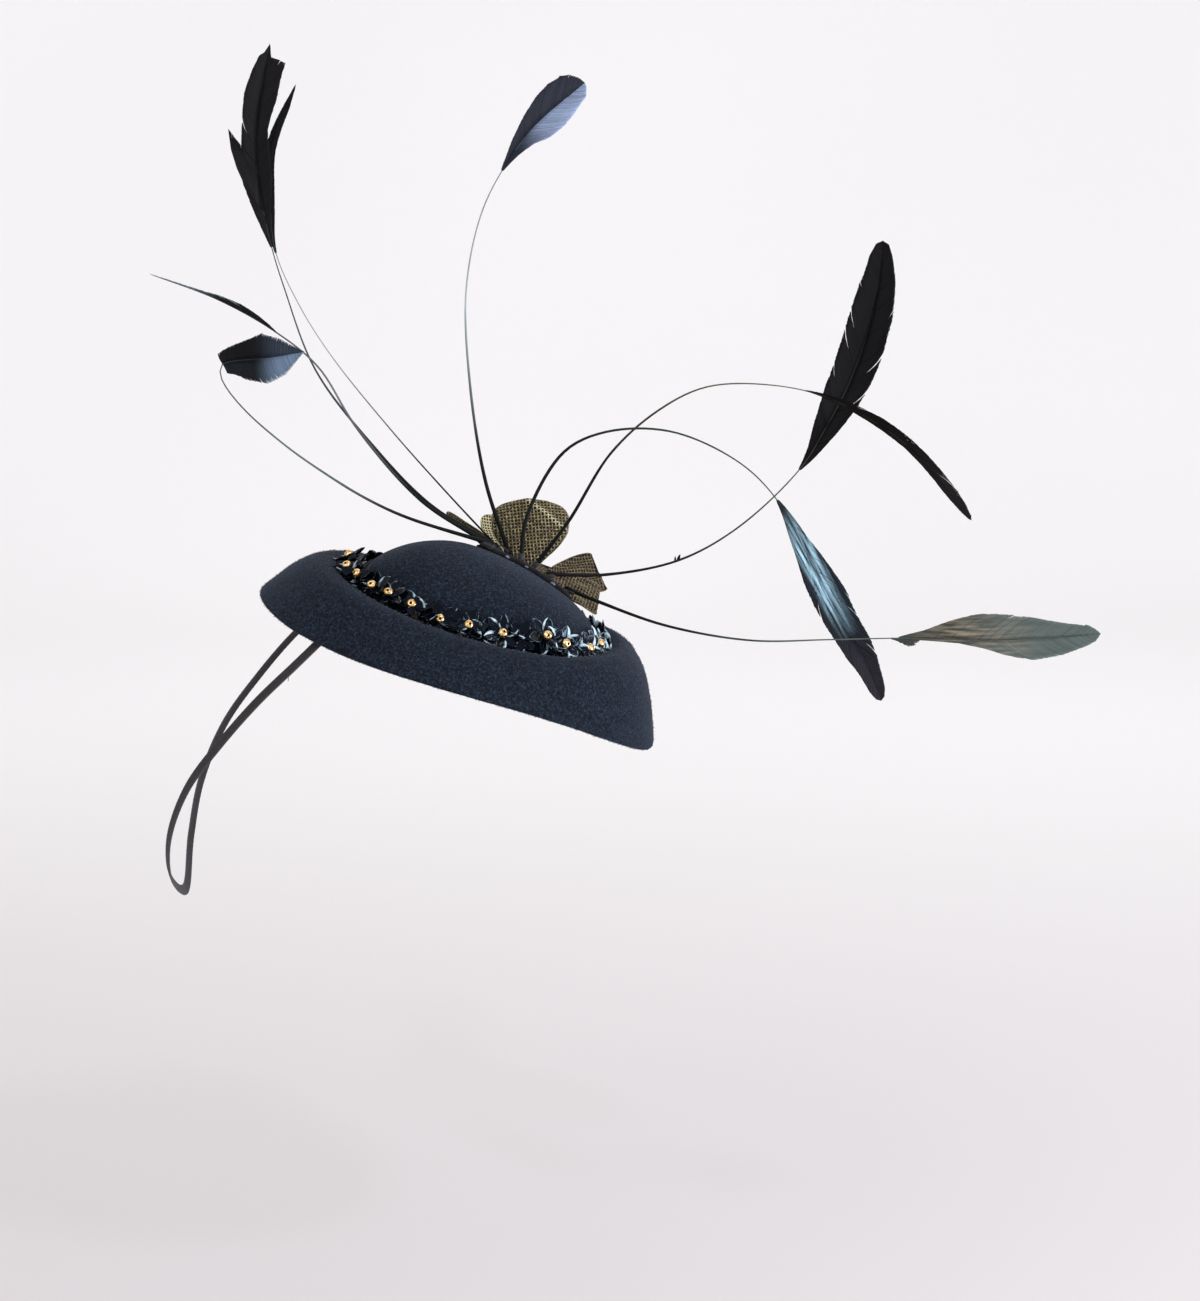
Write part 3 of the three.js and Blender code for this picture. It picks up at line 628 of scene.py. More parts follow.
for number, (x, y, z) in enumerate(beadPlaces):
    place = Vector((x, y, z))
    outward = Vector((x / trim["front"] ** 2, y / trim["side"] ** 2, 0)).normalized()
    # painted light: the film is drawn brighter toward the hat's front, where more of it faces the light
    paintedBrightness = min(1, max(0, (x - trim["darkUpTo"]) / trim["brightOver"])) * trim["brightest"]
    # the far ones at both ends are smaller, and stay below the crest
    full = trim["farBack"] if y > 5 and x < -30 else trim["farFront"] if y > 5 and x > 40 else 1
    addFlower(place, outward, math.radians(trim["tilt"] + dice.uniform(-9, 9)), full, paintedBrightness)
    # two more flowers without a bead fill the groove up to the next one
    after = Vector(beadPlaces[(number + 1) % len(beadPlaces)])
    between = (place + after) / 2 + Vector((dice.uniform(-1, 1), dice.uniform(-1, 1), -trim["fillDown"]))
    for side, tilt in zip((-1, 1), trim["fillTilts"]):
        # painted shade: the filling flowers sit lower in the groove and get less of the painted brightness
        addFlower(between + outward * (trim["fillApart"] * side), outward, math.radians(tilt + dice.uniform(-10, 10)),
                  trim["fillReach"] * full, paintedBrightness * 0.8)
    if number in bareFlowers:
        continue
    beadTurn = math.radians(trim["beadTilt"] + dice.uniform(-20, 20))
    hole = Vector((0, 0, math.cos(beadTurn))) + outward * math.sin(beadTurn)
    hole = (hole + Vector((dice.uniform(-0.35, 0.35), dice.uniform(-0.25, 0.25), 0))).normalized()
    turned = hole.to_track_quat("Z", "Y").to_matrix()
    seat = place + hole * bead["lift"]
    beads.append([[seat + turned @ p for p in ring] for ring in beadRings()])
    plug = [seat + hole * reach for reach in (-bead["plug"], 0, bead["plug"])]
    beadPlugs.append(tubeRings(plug, [bead["hole"] * 0.8] * 3, 10))
newHatPiece("sequinFlowers", petalPoints, petalFaces, [sequinFilm], "sequin",
            [f"trim_flower_{k:02d}" for k in range(1, 25)], marks={"paintedGlint": paintedGlints, "tone": paintedLightTones})
newHatPiece("goldBeads", *skinned(beads, loop=True), [goldBead], "sequin")
newHatPiece("beadThreads", *skinned(beadPlugs), [blackThread], "sequin")
print("trim: sequin flowers and beads")


# Binding that holds the quills

binding = {"from": -11, "to": 33, "near": 4.5, "far": 16.5, "thick": 1.6, "edge": 0.3, "gap": 0.35,
           "steps": 44, "rows": 9, "fade": 4, "ragged": 0.8, "swell": 0.25}
tapeRings = []
for step in range(binding["steps"] + 1):
    x = binding["from"] + (binding["to"] - binding["from"]) * step / binding["steps"]
    fromEnd = min(x - binding["from"], binding["to"] - x) / binding["fade"]
    taper = min(1, max(fromEnd, 0.02)) ** 0.5
    lower, upper = [], []
    for k in range(binding["rows"] + 1):
        share = k / binding["rows"]
        ragged = binding["ragged"] * noise.noise(Vector((x * 0.45, share * 3, 7)))
        y = binding["near"] + (binding["far"] - binding["near"]) * (0.5 + (share - 0.5) * taper) + ragged
        crowned = math.sqrt(max(0, 1 - abs(2 * share - 1) ** 6))
        swell = binding["swell"] * noise.noise(Vector((x * 0.4, y * 0.4, 2)))
        foot = onCrown(x, y, binding["gap"])
        lower.append(foot)
        high = binding["edge"] + (binding["thick"] - binding["edge"] + swell) * crowned * taper
        upper.append(foot + Vector((0, 0, high)))
    tapeRings.append(lower + upper[::-1])

# Cotton tape, woven and glued: black, matt, with a fine rib
tapeLook = {"dark": "#050507", "lift": "#121316", "rib": 0.9, "depth": 0.12}
cottonTape, tapeTree, tapeSurface = newFinish("cottonTapeWoven", {
    "Roughness": 0.9, "Specular IOR Level": 0.15, "Sheen Weight": 0.05})
waveBand = 2 / 6.28  # how far apart the bands of a wave texture of scale 1 lie
tapeRib = addNode(tapeTree, "TexWave", {
    "Vector": addNode(tapeTree, "TexCoord").outputs["Object"], "Scale": grainScale(tapeLook["rib"]) * waveBand,
    "Distortion": 1.2, "Detail": 2}, bands_direction="X").outputs["Fac"]
tapeTone = addNode(tapeTree, "ValToRGB", {"Fac": tapeRib}, [(0.2, tapeLook["dark"]), (0.9, tapeLook["lift"])])
tapeBump = addNode(tapeTree, "Bump", {"Height": tapeRib, "Strength": 0.7, "Distance": tapeLook["depth"] / metre})
setSockets(tapeSurface, {"Base Color": tapeTone, "Normal": tapeBump})
newHatPiece("quillBindingTape", *skinned([tapeRings]), [cottonTape], "binding", ["quill_binding"])

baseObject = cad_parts["mesh_flower_base"]
baseObject.data.materials.clear()
baseObject.data.materials.append(cottonTape)

# Hot-melt glue, set in beads: milky, faintly lilac
setGlue = mottledFinish(
    "hotMeltGlueSet", {"Roughness": 0.28, "IOR": 1.48, "Subsurface Weight": 0.2, "Coat Weight": 0.3}, 0.8,
    [(0.3, "#3a3843"), (0.7, "#79758a")], Detail=2)[0]
glue = {"wide": 0.7, "up": 1, "ripple": 0.3}
# place along and across the crown, and half sizes
glueDrops = [(2, 4.5, 1.1, 0.55), (10.6, 4.3, 0.8, 0.5), (23, 4.5, 1.2, 0.6)]
drops = []
for x, y, long, high in glueDrops:
    seat = onCrown(x, y, glue["up"])
    drop = [[seat + Vector((long * p.y, glue["wide"] * p.z, high * p.x)) for p in ring] for ring in ballRings(8, 12)]
    drops.append([[p + glue["ripple"] * noise.noise_vector(p * 0.9) for p in ring] for ring in drop])
newHatPiece("glueDrops", *skinned(drops), [setGlue], "binding")
print("binding: tape and glue")


# Mesh fabric flower

meshFlower = {
    "seat": (14, 25), "start": 5, "baseHigh": 2.6, "gap": 0.35, "cloth": 1.2,
    "strandWide": 0.4, "strandHigh": 0.2, "step": 0.65, "skew": 0.12, "hem": 0.2, "steps": 30, "across": 26,
    "creaseHigh": 1.1, "gauzeHalf": 0.12, "inset": 0.985,
}
# where it grows round the base, tip, way it faces, width, bow and cup
meshPetalRows = [
    (245, (29, 33, 63), (0, 1, 0.2), 32, 3.5, 0.2),
    (30, (57, 46, 30), (-0.3, -1, 0.6), 20, 1, 0.2),
    (330, (57, 27, 22), (0.3, -0.5, 1), 20, -1, 0.12),
    (195, (-5, 28, 59), (1, 0.25, 0.9), 18, 0.5, 0.22),
    (145, (12, 50, 54), (0.5, -0.8, 0.6), 22, 3, 0.2),
    (88, (37, 60, 29), (-0.1, -0.8, 1), 27, 3, 0.2),
]
# how each is finished: thread spacing, depth of its waves and of its pleats, how brown and how cream it is,
# outline, share of its width, and a pressed fold's two ends
meshPetalLooks = [
    (1.42, 1.2, 0, 0, 0, "round", 1, ((0.97, 0.1), (0.6, -0.85))),
    (1.4, 1.4, 0.4, 0.5, 0, "square", 0.94, None),
    (1.4, 1.4, 0.4, 0.4, 0, "square", 0.95, None),
    (1.35, 1.2, 0.3, 0, 0, "round", 1, None),
    (1.35, 1.3, 0, 0, 0.85, "round", 0.66, None),
    (1.4, 1.4, 0.4, 0.5, 0, "square", 1, None),
]
# share of the full width at a share of the way to the tip
petalWidths = {
    "round": [(0, 0.18), (0.14, 0.42), (0.32, 0.74), (0.52, 0.96), (0.7, 1), (0.82, 0.97), (0.9, 0.88), (0.95, 0.76),
              (0.98, 0.6), (1, 0.42)],
    "square": [(0, 0.16), (0.2, 0.46), (0.5, 0.8), (0.75, 0.98), (0.9, 1), (0.96, 0.98), (1, 0.9)],
}

# Metallic thread net over gauze: gold-wrapped yarn, bright on its crowns, and a dark cloth behind, dark in part as
# painted shade seen through the holes
threadLook = {"gold": "#796b47", "pale": "#bfb07f", "shadow": "#332b18", "brown": "#655039",
              "creamAndFoldHighlight": "#d6cda3", "wrap": 0.9}
goldYarn, yarnTree, yarnSurface, _, yarnTone = mottledFinish(
    "metallicYarnWoven", {"Metallic": 0.35, "Roughness": 0.46, "Sheen Weight": 0.1}, threadLook["wrap"],
    [(0.3, threadLook["shadow"]), (0.52, threadLook["gold"]), (0.72, threadLook["pale"])], Detail=2)
# the cream mark is each petal's own cream tone and, along the pressed fold, a painted highlight
for mark in ("brown", "creamAndFoldHighlight"):
    share = addNode(yarnTree, "Attribute", attribute_name=mark).outputs["Fac"]
    yarnTone = addNode(yarnTree, "Mix", {"Factor": share, 6: yarnTone, 7: threadLook[mark]}, data_type="RGBA")
setSockets(yarnSurface, {"Base Color": yarnTone})
darkGauzeAndShade = mottledFinish(
    "polyesterGauzeDyedAndShade", {"Roughness": 0.85, "Specular IOR Level": 0.2, "Sheen Weight": 0.25}, 1.5,
    [(0.3, "#0b0905"), (0.7, "#17120a")], Detail=2)[0]

seatX, seatY = meshFlower["seat"]
flowerSeat = onCrown(seatX, seatY, meshFlower["gap"])
flowerAhead = onCrown(seatX + 1, seatY, meshFlower["gap"]) - flowerSeat
flowerAside = onCrown(seatX, seatY + 1, meshFlower["gap"]) - flowerSeat
flowerAxis = flowerAhead.cross(flowerAside).normalized()
flowerAhead.normalize()
flowerLeft = flowerAxis.cross(flowerAhead)


# A cloth petal as a surface: a place and its normal at shares along and across, in the row's frame
def clothPetal(row, look):
    turn, end, face, width, belly, cup = row
    _, ruffle, pleat, _, _, outline, narrow, crease = look
    away = math.radians(turn)
    start = flowerSeat + meshFlower["start"] * (flowerAhead * math.cos(away) + flowerLeft * math.sin(away))
    start = tip @ (start + flowerAxis * meshFlower["baseHigh"] * 0.7)
    end, hollow = Vector(end), Vector(face).normalized()
    bow = (start + end) / 2 - hollow * 2 * belly
    path = [start * (1 - t) ** 2 + bow * 2 * t * (1 - t) + end * t * t for t in (k / 40 for k in range(41))]
    runs = pathRuns(path)
    widths = fineRows([(*row, 0) for row in petalWidths[outline]], 6)

    def halfAt(along):
        return width * narrow * rowAt(widths, along)[1] / 2

    # how near a spot is to the pressed fold's line
    def foldAt(along, across):
        if not crease:
            return 0
        (a, p), (b, q) = crease
        here = Vector(((along - a) * runs[-1], (across - p) * halfAt(along)))
        line = Vector(((b - a) * runs[-1], (q - p) * width / 2))
        share = min(1, max(0, here.dot(line) / line.length_squared))
        return math.exp(-((here - line * share).length / 1.1) ** 2)

    def at(along, across):
        point, forward = onPath(path, runs, along * runs[-1])
        side = forward.cross(hollow).normalized()
        normal = side.cross(forward)
        half = halfAt(along)
        wave = ruffle * noise.noise(Vector((along * 3, across * 1.7, width))) * min(1, along * 3)
        wave += pleat * math.cos(7 * across + 3 * along) * min(1, along * 2)
        wave -= meshFlower["creaseHigh"] * foldAt(along, across)
        # the cut end of a square one is ragged
        if outline == "square" and along > 0.85:
            point = point + forward * 9 * (along - 0.85) * noise.noise(Vector((across * 3.1, width, 4)))
        return point + side * across * half + normal * (cup * half * across ** 2 + wave), normal

    return at, halfAt, foldAt, runs[-1]


def addPetal(number, row, look):
    at, halfAt, foldAt, length = clothPetal(row, look)
    pitch, _, _, brown, creamAndFoldHighlight, *_ = look
    mid, thin, inset = -meshFlower["cloth"] / 2, meshFlower["gauzeHalf"], meshFlower["inset"]
    points, faces, finishOf = [], [], []
    # the cloth behind, whose darkness is partly painted shade
    rings = []
    for i in range(meshFlower["steps"] + 1):
        along = i / meshFlower["steps"]
        front, back = [], []
        for k in range(meshFlower["across"] + 1):
            point, normal = at(along, (2 * k / meshFlower["across"] - 1) * inset)
            front.append(point + normal * (mid + thin))
            back.append(point + normal * (mid - thin))
        rings.append(front + back[::-1])
    addSkin(points, faces, rings)
    finishOf.extend([1] * len(faces))
    # painted highlight: the thread is drawn creamier along the pressed fold, where the fold turns it to the light
    creamsAndFoldHighlight = [creamAndFoldHighlight] * len(points)
    # woven yarns on both faces, warp up the petal and weft across it, a little off square
    halfWidth = row[3] / 2
    skew, wide = meshFlower["skew"], meshFlower["strandWide"] * pitch
    for face in (1, -1):
        for weft in (False, True):
            for line in range(-int(halfWidth / pitch) - 4, int(max(length, halfWidth) / pitch) + 4):
                run = []
                for k in range(int(1.3 * max(length, 2 * halfWidth) / meshFlower["step"])):
                    shift = k * meshFlower["step"] - (halfWidth if weft else 0)
                    fixed = line * pitch + 0.1 * noise.noise(Vector((line * 3.7, number, weft * 9)))
                    alongMm, acrossMm = (fixed - skew * shift, shift) if weft else (shift, fixed + skew * shift)
                    along = alongMm / length
                    if not (0.02 < along < 0.995 and abs(acrossMm) <= halfAt(along) * inset):
                        if len(run) > 2:
                            break
                        run = []
                        continue
                    over = 0.6 * math.cos(math.pi * (shift / pitch + line + weft))
                    point, normal = at(along, acrossMm / halfAt(along))
                    lit = max(creamAndFoldHighlight, 0.8 * foldAt(along, acrossMm / halfAt(along)))
                    run.append((point + normal * (mid + face * (0.16 + 0.08 * over)), normal * face, lit))
                if len(run) < 3:
                    continue
                rings = []
                for k, (point, normal, lit) in enumerate(run):
                    creamsAndFoldHighlight.extend([lit] * 3)
                    ahead = (run[min(k + 1, len(run) - 1)][0] - run[max(k - 1, 0)][0]).normalized()
                    side = ahead.cross(normal).normalized()
                    rings.append([point - side * wide / 2, point + side * wide / 2,
                                  point + normal * meshFlower["strandHigh"]])
                addSkin(points, faces, rings)
                creamsAndFoldHighlight.extend([run[0][2], run[-1][2]])
    # the cut edge, turned over once
    spots = [(k / 40, -1) for k in range(41)] + [(1, v / 4) for v in range(-3, 4)]
    spots += [(k / 40, 1) for k in range(40, -1, -1)]
    edge = [point + normal * mid for point, normal in (at(*spot) for spot in spots)]
    rope = [meshFlower["hem"] * (0.8 + 0.5 * noise.noise(point * 0.9)) for point in edge]
    addSkin(points, faces, tubeRings(edge, rope, 6))
    finishOf.extend([0] * (len(faces) - len(finishOf)))
    creamsAndFoldHighlight.extend([creamAndFoldHighlight] * (len(points) - len(creamsAndFoldHighlight)))
    newPiece(f"meshPetal{number}", points, faces, [goldYarn, darkGauzeAndShade], "mesh_cloth",
             [f"mesh_petal_{number}"], finishOf=finishOf, marks={"brown": [brown] * len(points), "creamAndFoldHighlight": creamsAndFoldHighlight})


for number, (row, look) in enumerate(zip(meshPetalRows, meshPetalLooks), 1):
    addPetal(number, row, look)
print("mesh flower: petals")


# Stripped feathers

barb = {
    "spacing": 0.46, "wide": 0.72, "thin": 0.3, "thick": 0.1, "points": 6, "slant": 1.5, "spikeStep": 0.36,
    "spikeThin": 0.2, "tuftStep": 0.34, "tuftBefore": 3, "tuftThin": 0.24, "nubCount": 8, "nubThin": 0.1,
}
quill = {"step": 3.2, "sides": 10, "footIn": 1.2}
# Each starts at its seat on the crown and follows its path. Root, foot and top are the shaft's seat and radii.
# The vane covers the last stretch, of length web: a row says how far along it, then each half's width. Splits part
# it, a spike is barbs that stand off it together, and a tuft or a nub is torn barbs before it. Streaks and the tip
# are its colours, the gleam a painted highlight, and the light blue tips of the top and curled feathers painted sheen.
feathers = [
    {
        "node": "feather_tall_left", "root": 0.9, "foot": 1.15, "top": 0.2, "seat": (-4, 11.6),
        "facing": (0.2, -1, 0), "cup": 14,
        "path": [(-11, 10.5, 65), (-34, 9, 90), (-55, 5, 120), (-66, 3, 152), (-71, 2, 171), (-75, 1, 198),
                 (-74, -1, 217), (-68, -4, 244)],
        "web": 77, "left": "#0e0c0e", "right": "#100e10", "tip": "#141214", "tipFrom": 0.5, "quill": "#55615f",
        "vane": [(0, 0.4, 0.4), (0.14, 2.8, 1.8), (0.34, 6.4, 5.7), (0.48, 5.6, 5.3), (0.6, 5.8, 4.5),
                 (0.76, 6.4, 6.5), (0.87, 5, 6.7), (0.94, 3.4, 6.9), (0.95, 3, 1.4), (0.965, 1.6, 1), (1, 0.3, 0.3)],
        "spikes": [(0.18, -1, 11, 31, 26)], "splits": [(0.62, -1)], "sheen": 0.02,
    },
    {
        "node": "feather_tall_left_thin", "root": 0.6, "foot": 0.5, "top": 0.16, "seat": (-1.5, 15),
        "facing": (-0.5, -1, 0), "cup": 10,
        "path": [(-5, 18, 69), (-27, 20, 94), (-50, 18, 124), (-62, 14, 145), (-70, 10, 166), (-71, 8, 186),
                 (-70, 8, 206), (-60, 6, 229)],
        "web": 66, "left": "#0f0d0e", "right": "#110f10", "tip": "#141213", "tipFrom": 0.5, "quill": "#a3a6ac",
        "vane": [(0, 0.4, 0.4), (0.2, 1.6, 1.8), (0.45, 2.4, 2.6), (0.7, 2, 2.4), (0.88, 1.2, 1.6), (1, 0.3, 0.3)],
        "sheen": 0.05,
    },
    {
        "node": "feather_edge_left", "root": 0.7, "foot": 1.0, "top": 0.3, "seat": (-9, 8.6),
        "facing": (-0.4, 0, 1), "cup": 12,
        "path": [(-14, 3, 68), (-38, -5, 98), (-52, -11, 123), (-67, -17, 137), (-88, -23, 150), (-112, -29, 160)],
        "web": 52, "left": "#252a28", "right": "#2e3431", "tip": "#93a5ae", "tipFrom": 0.45, "quill": "#7f7e88",
        "vane": [(0, 0.4, 0.4), (0.18, 4.5, 5.5), (0.34, 7, 9), (0.5, 5.5, 7.5), (0.6, 3, 3.6), (0.8, 1.6, 1.8),
                 (1, 0.4, 0.4)],
        "splits": [(0.4, 1)], "sheen": 0.08,
    },
    {
        "node": "feather_curled_left", "root": 0.9, "foot": 1.05, "top": 0.22, "seat": (-6.5, 5.6),
        "facing": (0.1, -1, 0.1), "cup": 20,
        "path": [(-20, -2.5, 62.4), (-36, -5.5, 70.8), (-51, -8.5, 81), (-65, -12, 92), (-80, -16, 106.5),
                 (-87.4, -18, 116.7), (-89, -18.5, 121.4), (-88, -19, 125), (-84, -19.5, 126.3), (-77, -20, 127),
                 (-69, -20.5, 127.8), (-56.5, -21, 130)],
        "web": 31.6, "left": "#0c0b0e", "right": "#12141a", "tip": "#6f839b", "tipFrom": 0.38, "quill": "#77817f",
        "vane": [(0, 4.4, 4.2), (0.14, 6, 5.8), (0.34, 8, 8.4), (0.55, 10, 10.2), (0.76, 7, 7.6), (1, 0.5, 0.5)],
        "sheen": 0.12, "slant": 0.3, "tipLeft": 0.16,
    },
    {
        "node": "feather_top", "root": 0.85, "foot": 1.15, "top": 0.2, "seat": (2, 12.4),
        "facing": (-0.3, -1, -0.2), "cup": 26,
        "path": [(11, 17, 74), (5, 21, 114), (4, 24, 150), (10, 27, 179), (19, 28, 197), (32, 30, 214),
                 (51, 32, 230)],
        "web": 47, "left": "#24262e", "right": "#262831", "tip": "#9caccd", "tipFrom": 0.2, "quill": "#b0b7ba",
        "vane": [(0, 0.4, 0.4), (0.17, 2.4, 2.4), (0.37, 5, 5.4), (0.5, 6.8, 8.6), (0.62, 8.4, 9), (0.77, 9.4, 7.6),
                 (0.88, 8.8, 6), (0.95, 6.8, 4.8), (1, 3, 2)],
        "sheen": 0.12, "tipLeft": 0, "slant": 1.3, "streaks": 0.3,
    },
    {
        "node": "feather_arch", "root": 0.85, "foot": 1.1, "top": 0.23, "seat": (7.5, 8.4),
        "facing": (0.2, -1, 0.1), "cup": 12,
        "path": [(28, 11, 60), (43, 13, 86), (60, 14, 94), (86, 15, 94), (113, 14, 82), (128, 10, 68),
                 (140, 6, 47), (153.5, 1, 21.5), (165, -6, 2), (170, -11, -10)],
        "web": 90, "left": "#16202a", "right": "#10141a", "tip": "#1f1e23", "tipFrom": 0.5, "quill": "#4b5552",
        "vane": [(0, 0.4, 0.4), (0.12, 2.2, 2.4), (0.25, 4, 4.4), (0.38, 6.2, 6.6), (0.5, 7.4, 7.4), (0.62, 6.8, 7),
                 (0.76, 6.2, 6.4), (0.88, 4.4, 4.6), (0.96, 3.4, 3.4), (1, 1.8, 1.8)],
        "splits": [(0.62, -1), (0.8, -1), (0.55, 1)], "sheen": 0.15, "slant": 2.2,
        "paintedGleam": "#a8cfe2", "gleamLow": 0.36, "gleamEdge": 5.2, "gleamEnd": 0.7,
    },
    {
        "node": "feather_high_arch", "root": 0.85, "foot": 1.1, "top": 0.2, "seat": (14, 14),
        "facing": (0.26, -0.18, 1), "cup": 6,
        "path": [(45, 13.5, 58), (62, 11, 86), (81, 9, 103.5), (100, 7, 113), (126, 4, 114), (148, 2, 109),
                 (178, -2, 91.5), (204, -6, 62.5)],
        "web": 84, "left": "#131111", "right": "#171514", "tip": "#1c1a1a", "tipFrom": 0.5, "quill": "#6b6450",
        "vane": [(0, 0.4, 0.4), (0.14, 3.8, 3.6), (0.38, 8, 7.6), (0.66, 8.4, 8.2), (0.86, 8.6, 8.4),
                 (0.95, 6.4, 6.2), (1, 2.6, 2.6)],
        "splits": [(0.3, -1), (0.45, 1), (0.6, -1), (0.75, 1), (0.85, -1)], "sheen": 0, "shine": 0,
    },
    {
        "node": "feather_sweep", "root": 0.85, "foot": 0.95, "top": 0.25, "seat": (20.5, 8.4),
        "facing": (-0.2, -1, 0.1), "cup": 12,
        "path": [(60, 14, 35.5), (90, 17, 41), (114, 18, 54.5), (139, 20, 78.5), (149, 21, 95), (158.5, 22, 114),
                 (165, 22.5, 134), (169, 23, 153), (170, 23, 168)],
        "web": 97, "left": "#0a080b", "right": "#0b0a0d", "tip": "#0f0d10", "tipFrom": 0.5, "quill": "#5c5c50",
        "vane": [(0, 0.4, 0.4), (0.1, 2.6, 2.6), (0.22, 5.6, 5.4), (0.36, 8.4, 7.6), (0.5, 9, 8.8), (0.7, 9, 8.8),
                 (0.84, 7.4, 7), (0.95, 5, 4.6), (1, 2.6, 2.6)],
        "spikes": [(0.2, -1, 7.6, 19, 8)], "splits": [(0.46, -1), (0.62, -1), (0.7, -1), (0.4, 1), (0.55, 1)],
        "sheen": 0, "nub": 0.46,
    },
    {
        "node": "feather_low", "root": 0.8, "foot": 0.95, "top": 0.22, "seat": (30, 13),
        "facing": (0, -1, 0.25), "cup": 14,
        "path": [(57, 8, 25.5), (84, 2, 17), (118, -3, 12), (150, -8, 13.5), (180, -12, 15), (207, -16, 15),
                 (231, -21, 17), (253, -26, 20)],
        "web": 78, "left": "#3f403a", "right": "#383d3a", "tip": "#5e6a67", "tipFrom": 0.25, "quill": "#6a7672",
        "vane": [(0, 0.4, 0.4), (0.14, 3.6, 0.7), (0.31, 9, 1.2), (0.42, 11, 3), (0.55, 10.2, 6.2), (0.68, 8.6, 8.8),
                 (0.83, 5.8, 7.2), (0.95, 3.8, 4.2), (0.985, 2.4, 2.8), (1, 1.2, 1.4)],
        "splits": [(0.93, -1)], "sheen": 0.08, "tuft": 28,
        "paintedGleam": "#8d8473", "gleamLow": 0.4, "gleamEdge": 12, "gleamEnd": 0.75,
    },
]


# Keratin barbs, hooked into a web and dyed: satin black, streaked along each barb, with a painted gleam on some and a
# painted blue sheen toward the tip of the top and curled ones
def barbFinish(row):
    material, tree, surface = newFinish(f"keratinBarbs_{row['node']}", {
        "Roughness": 0.5, "Specular IOR Level": row.get("shine", 0.12), "Sheen Weight": row["sheen"],
        "Sheen Roughness": 0.3, "Sheen Tint": "#9fb2d2"})
    side, along, streak = (addNode(tree, "Attribute", attribute_name=mark).outputs["Fac"]
                           for mark in ("side", "along", "streak"))
    toned = addNode(tree, "Mix", {"Factor": side, 6: row["left"], 7: row["right"]}, data_type="RGBA")
    # painted sheen: on the top and curled feathers the tip colour is a light blue sheen; where tipLeft is set it lies
    # mostly on one half
    tipAmount = addNode(tree, "MapRange", {
        "Value": along, "From Min": row["tipFrom"], "From Max": row["tipFrom"] + 0.35, "To Max": 0.9},
        interpolation_type="SMOOTHSTEP")
    if "tipLeft" in row:
        halfAmount = addNode(tree, "MapRange", {"Value": side, "To Min": row["tipLeft"]})
        tipAmount = addNode(tree, "Math", {0: tipAmount, 1: halfAmount}, operation="MULTIPLY")
    toned = addNode(tree, "Mix", {"Factor": tipAmount, 6: toned, 7: row["tip"]}, data_type="RGBA")
    if "paintedGleam" in row:
        # the gleam, a painted highlight, runs in streaks along the shaft, and fades toward the edges and the tip
        across = addNode(tree, "Attribute", attribute_name="across").outputs["Fac"]
        length = addNode(tree, "Math", {0: along, 1: row["web"] / 14}, operation="MULTIPLY")
        spot = addNode(tree, "CombineXYZ", {"X": across, "Y": length})
        cloud = addNode(tree, "TexNoise", {"Vector": spot, "Scale": 0.9, "Detail": 3})
        amount = addNode(tree, "MapRange", {
            "Value": cloud, "From Min": row["gleamLow"], "From Max": row["gleamLow"] + 0.26})
        reach = addNode(tree, "Math", {0: across}, operation="ABSOLUTE")
        for value, low, high in ((reach, row["gleamEdge"], row["gleamEdge"] * 0.4),
                                 (along, row["gleamEnd"], row["gleamEnd"] - 0.25), (along, 0.04, 0.25)):
            fade = addNode(tree, "MapRange", {"Value": value, "From Min": low, "From Max": high})
            amount = addNode(tree, "Math", {0: amount, 1: fade}, operation="MULTIPLY")
        toned = addNode(tree, "Mix", {"Factor": amount, 6: toned, 7: row["paintedGleam"]}, data_type="RGBA")
    depth = row.get("streaks", 0.17)
    streaks = addNode(tree, "MapRange", {"Value": streak, "To Min": 1 - depth, "To Max": 1 + depth})
    setSockets(surface, {"Base Color": addNode(tree, "VectorMath", {0: toned, "Scale": streaks}, operation="SCALE")})
    return material


# Keratin shaft, scraped bare: dark and round at the foot, paler and hair-thin as it rises
def shaftFinish(row):
    material, tree, surface = newFinish(f"keratinShaft_{row['node']}", {
        "Roughness": 0.55, "Specular IOR Level": 0.12})
    along = addNode(tree, "Attribute", attribute_name="along").outputs["Fac"]
    tone = addNode(tree, "ValToRGB", {"Fac": along},
                   [(0, "#070a09"), (0.22, "#131b19"), (0.5, row["quill"]), (1, row["left"])])
    blotch = addNode(tree, "TexNoise", {
        "Vector": addNode(tree, "TexCoord").outputs["Object"], "Scale": grainScale(14), "Detail": 3})
    blotched = addNode(tree, "Mix", {"Factor": blotch, 6: tone, 7: "#4e5955"}, data_type="RGBA",
                       blend_type="SOFT_LIGHT")
    setSockets(surface, {"Base Color": blotched})
    return material


# Where a quill stands on the binding in the hat's own frame, and the way it leaves
def quillFoot(row):
    foot = onCrown(*row["seat"], 2 * binding["gap"] + binding["thick"])
    return foot, (untip @ Vector(row["path"][0]) - foot).normalized()


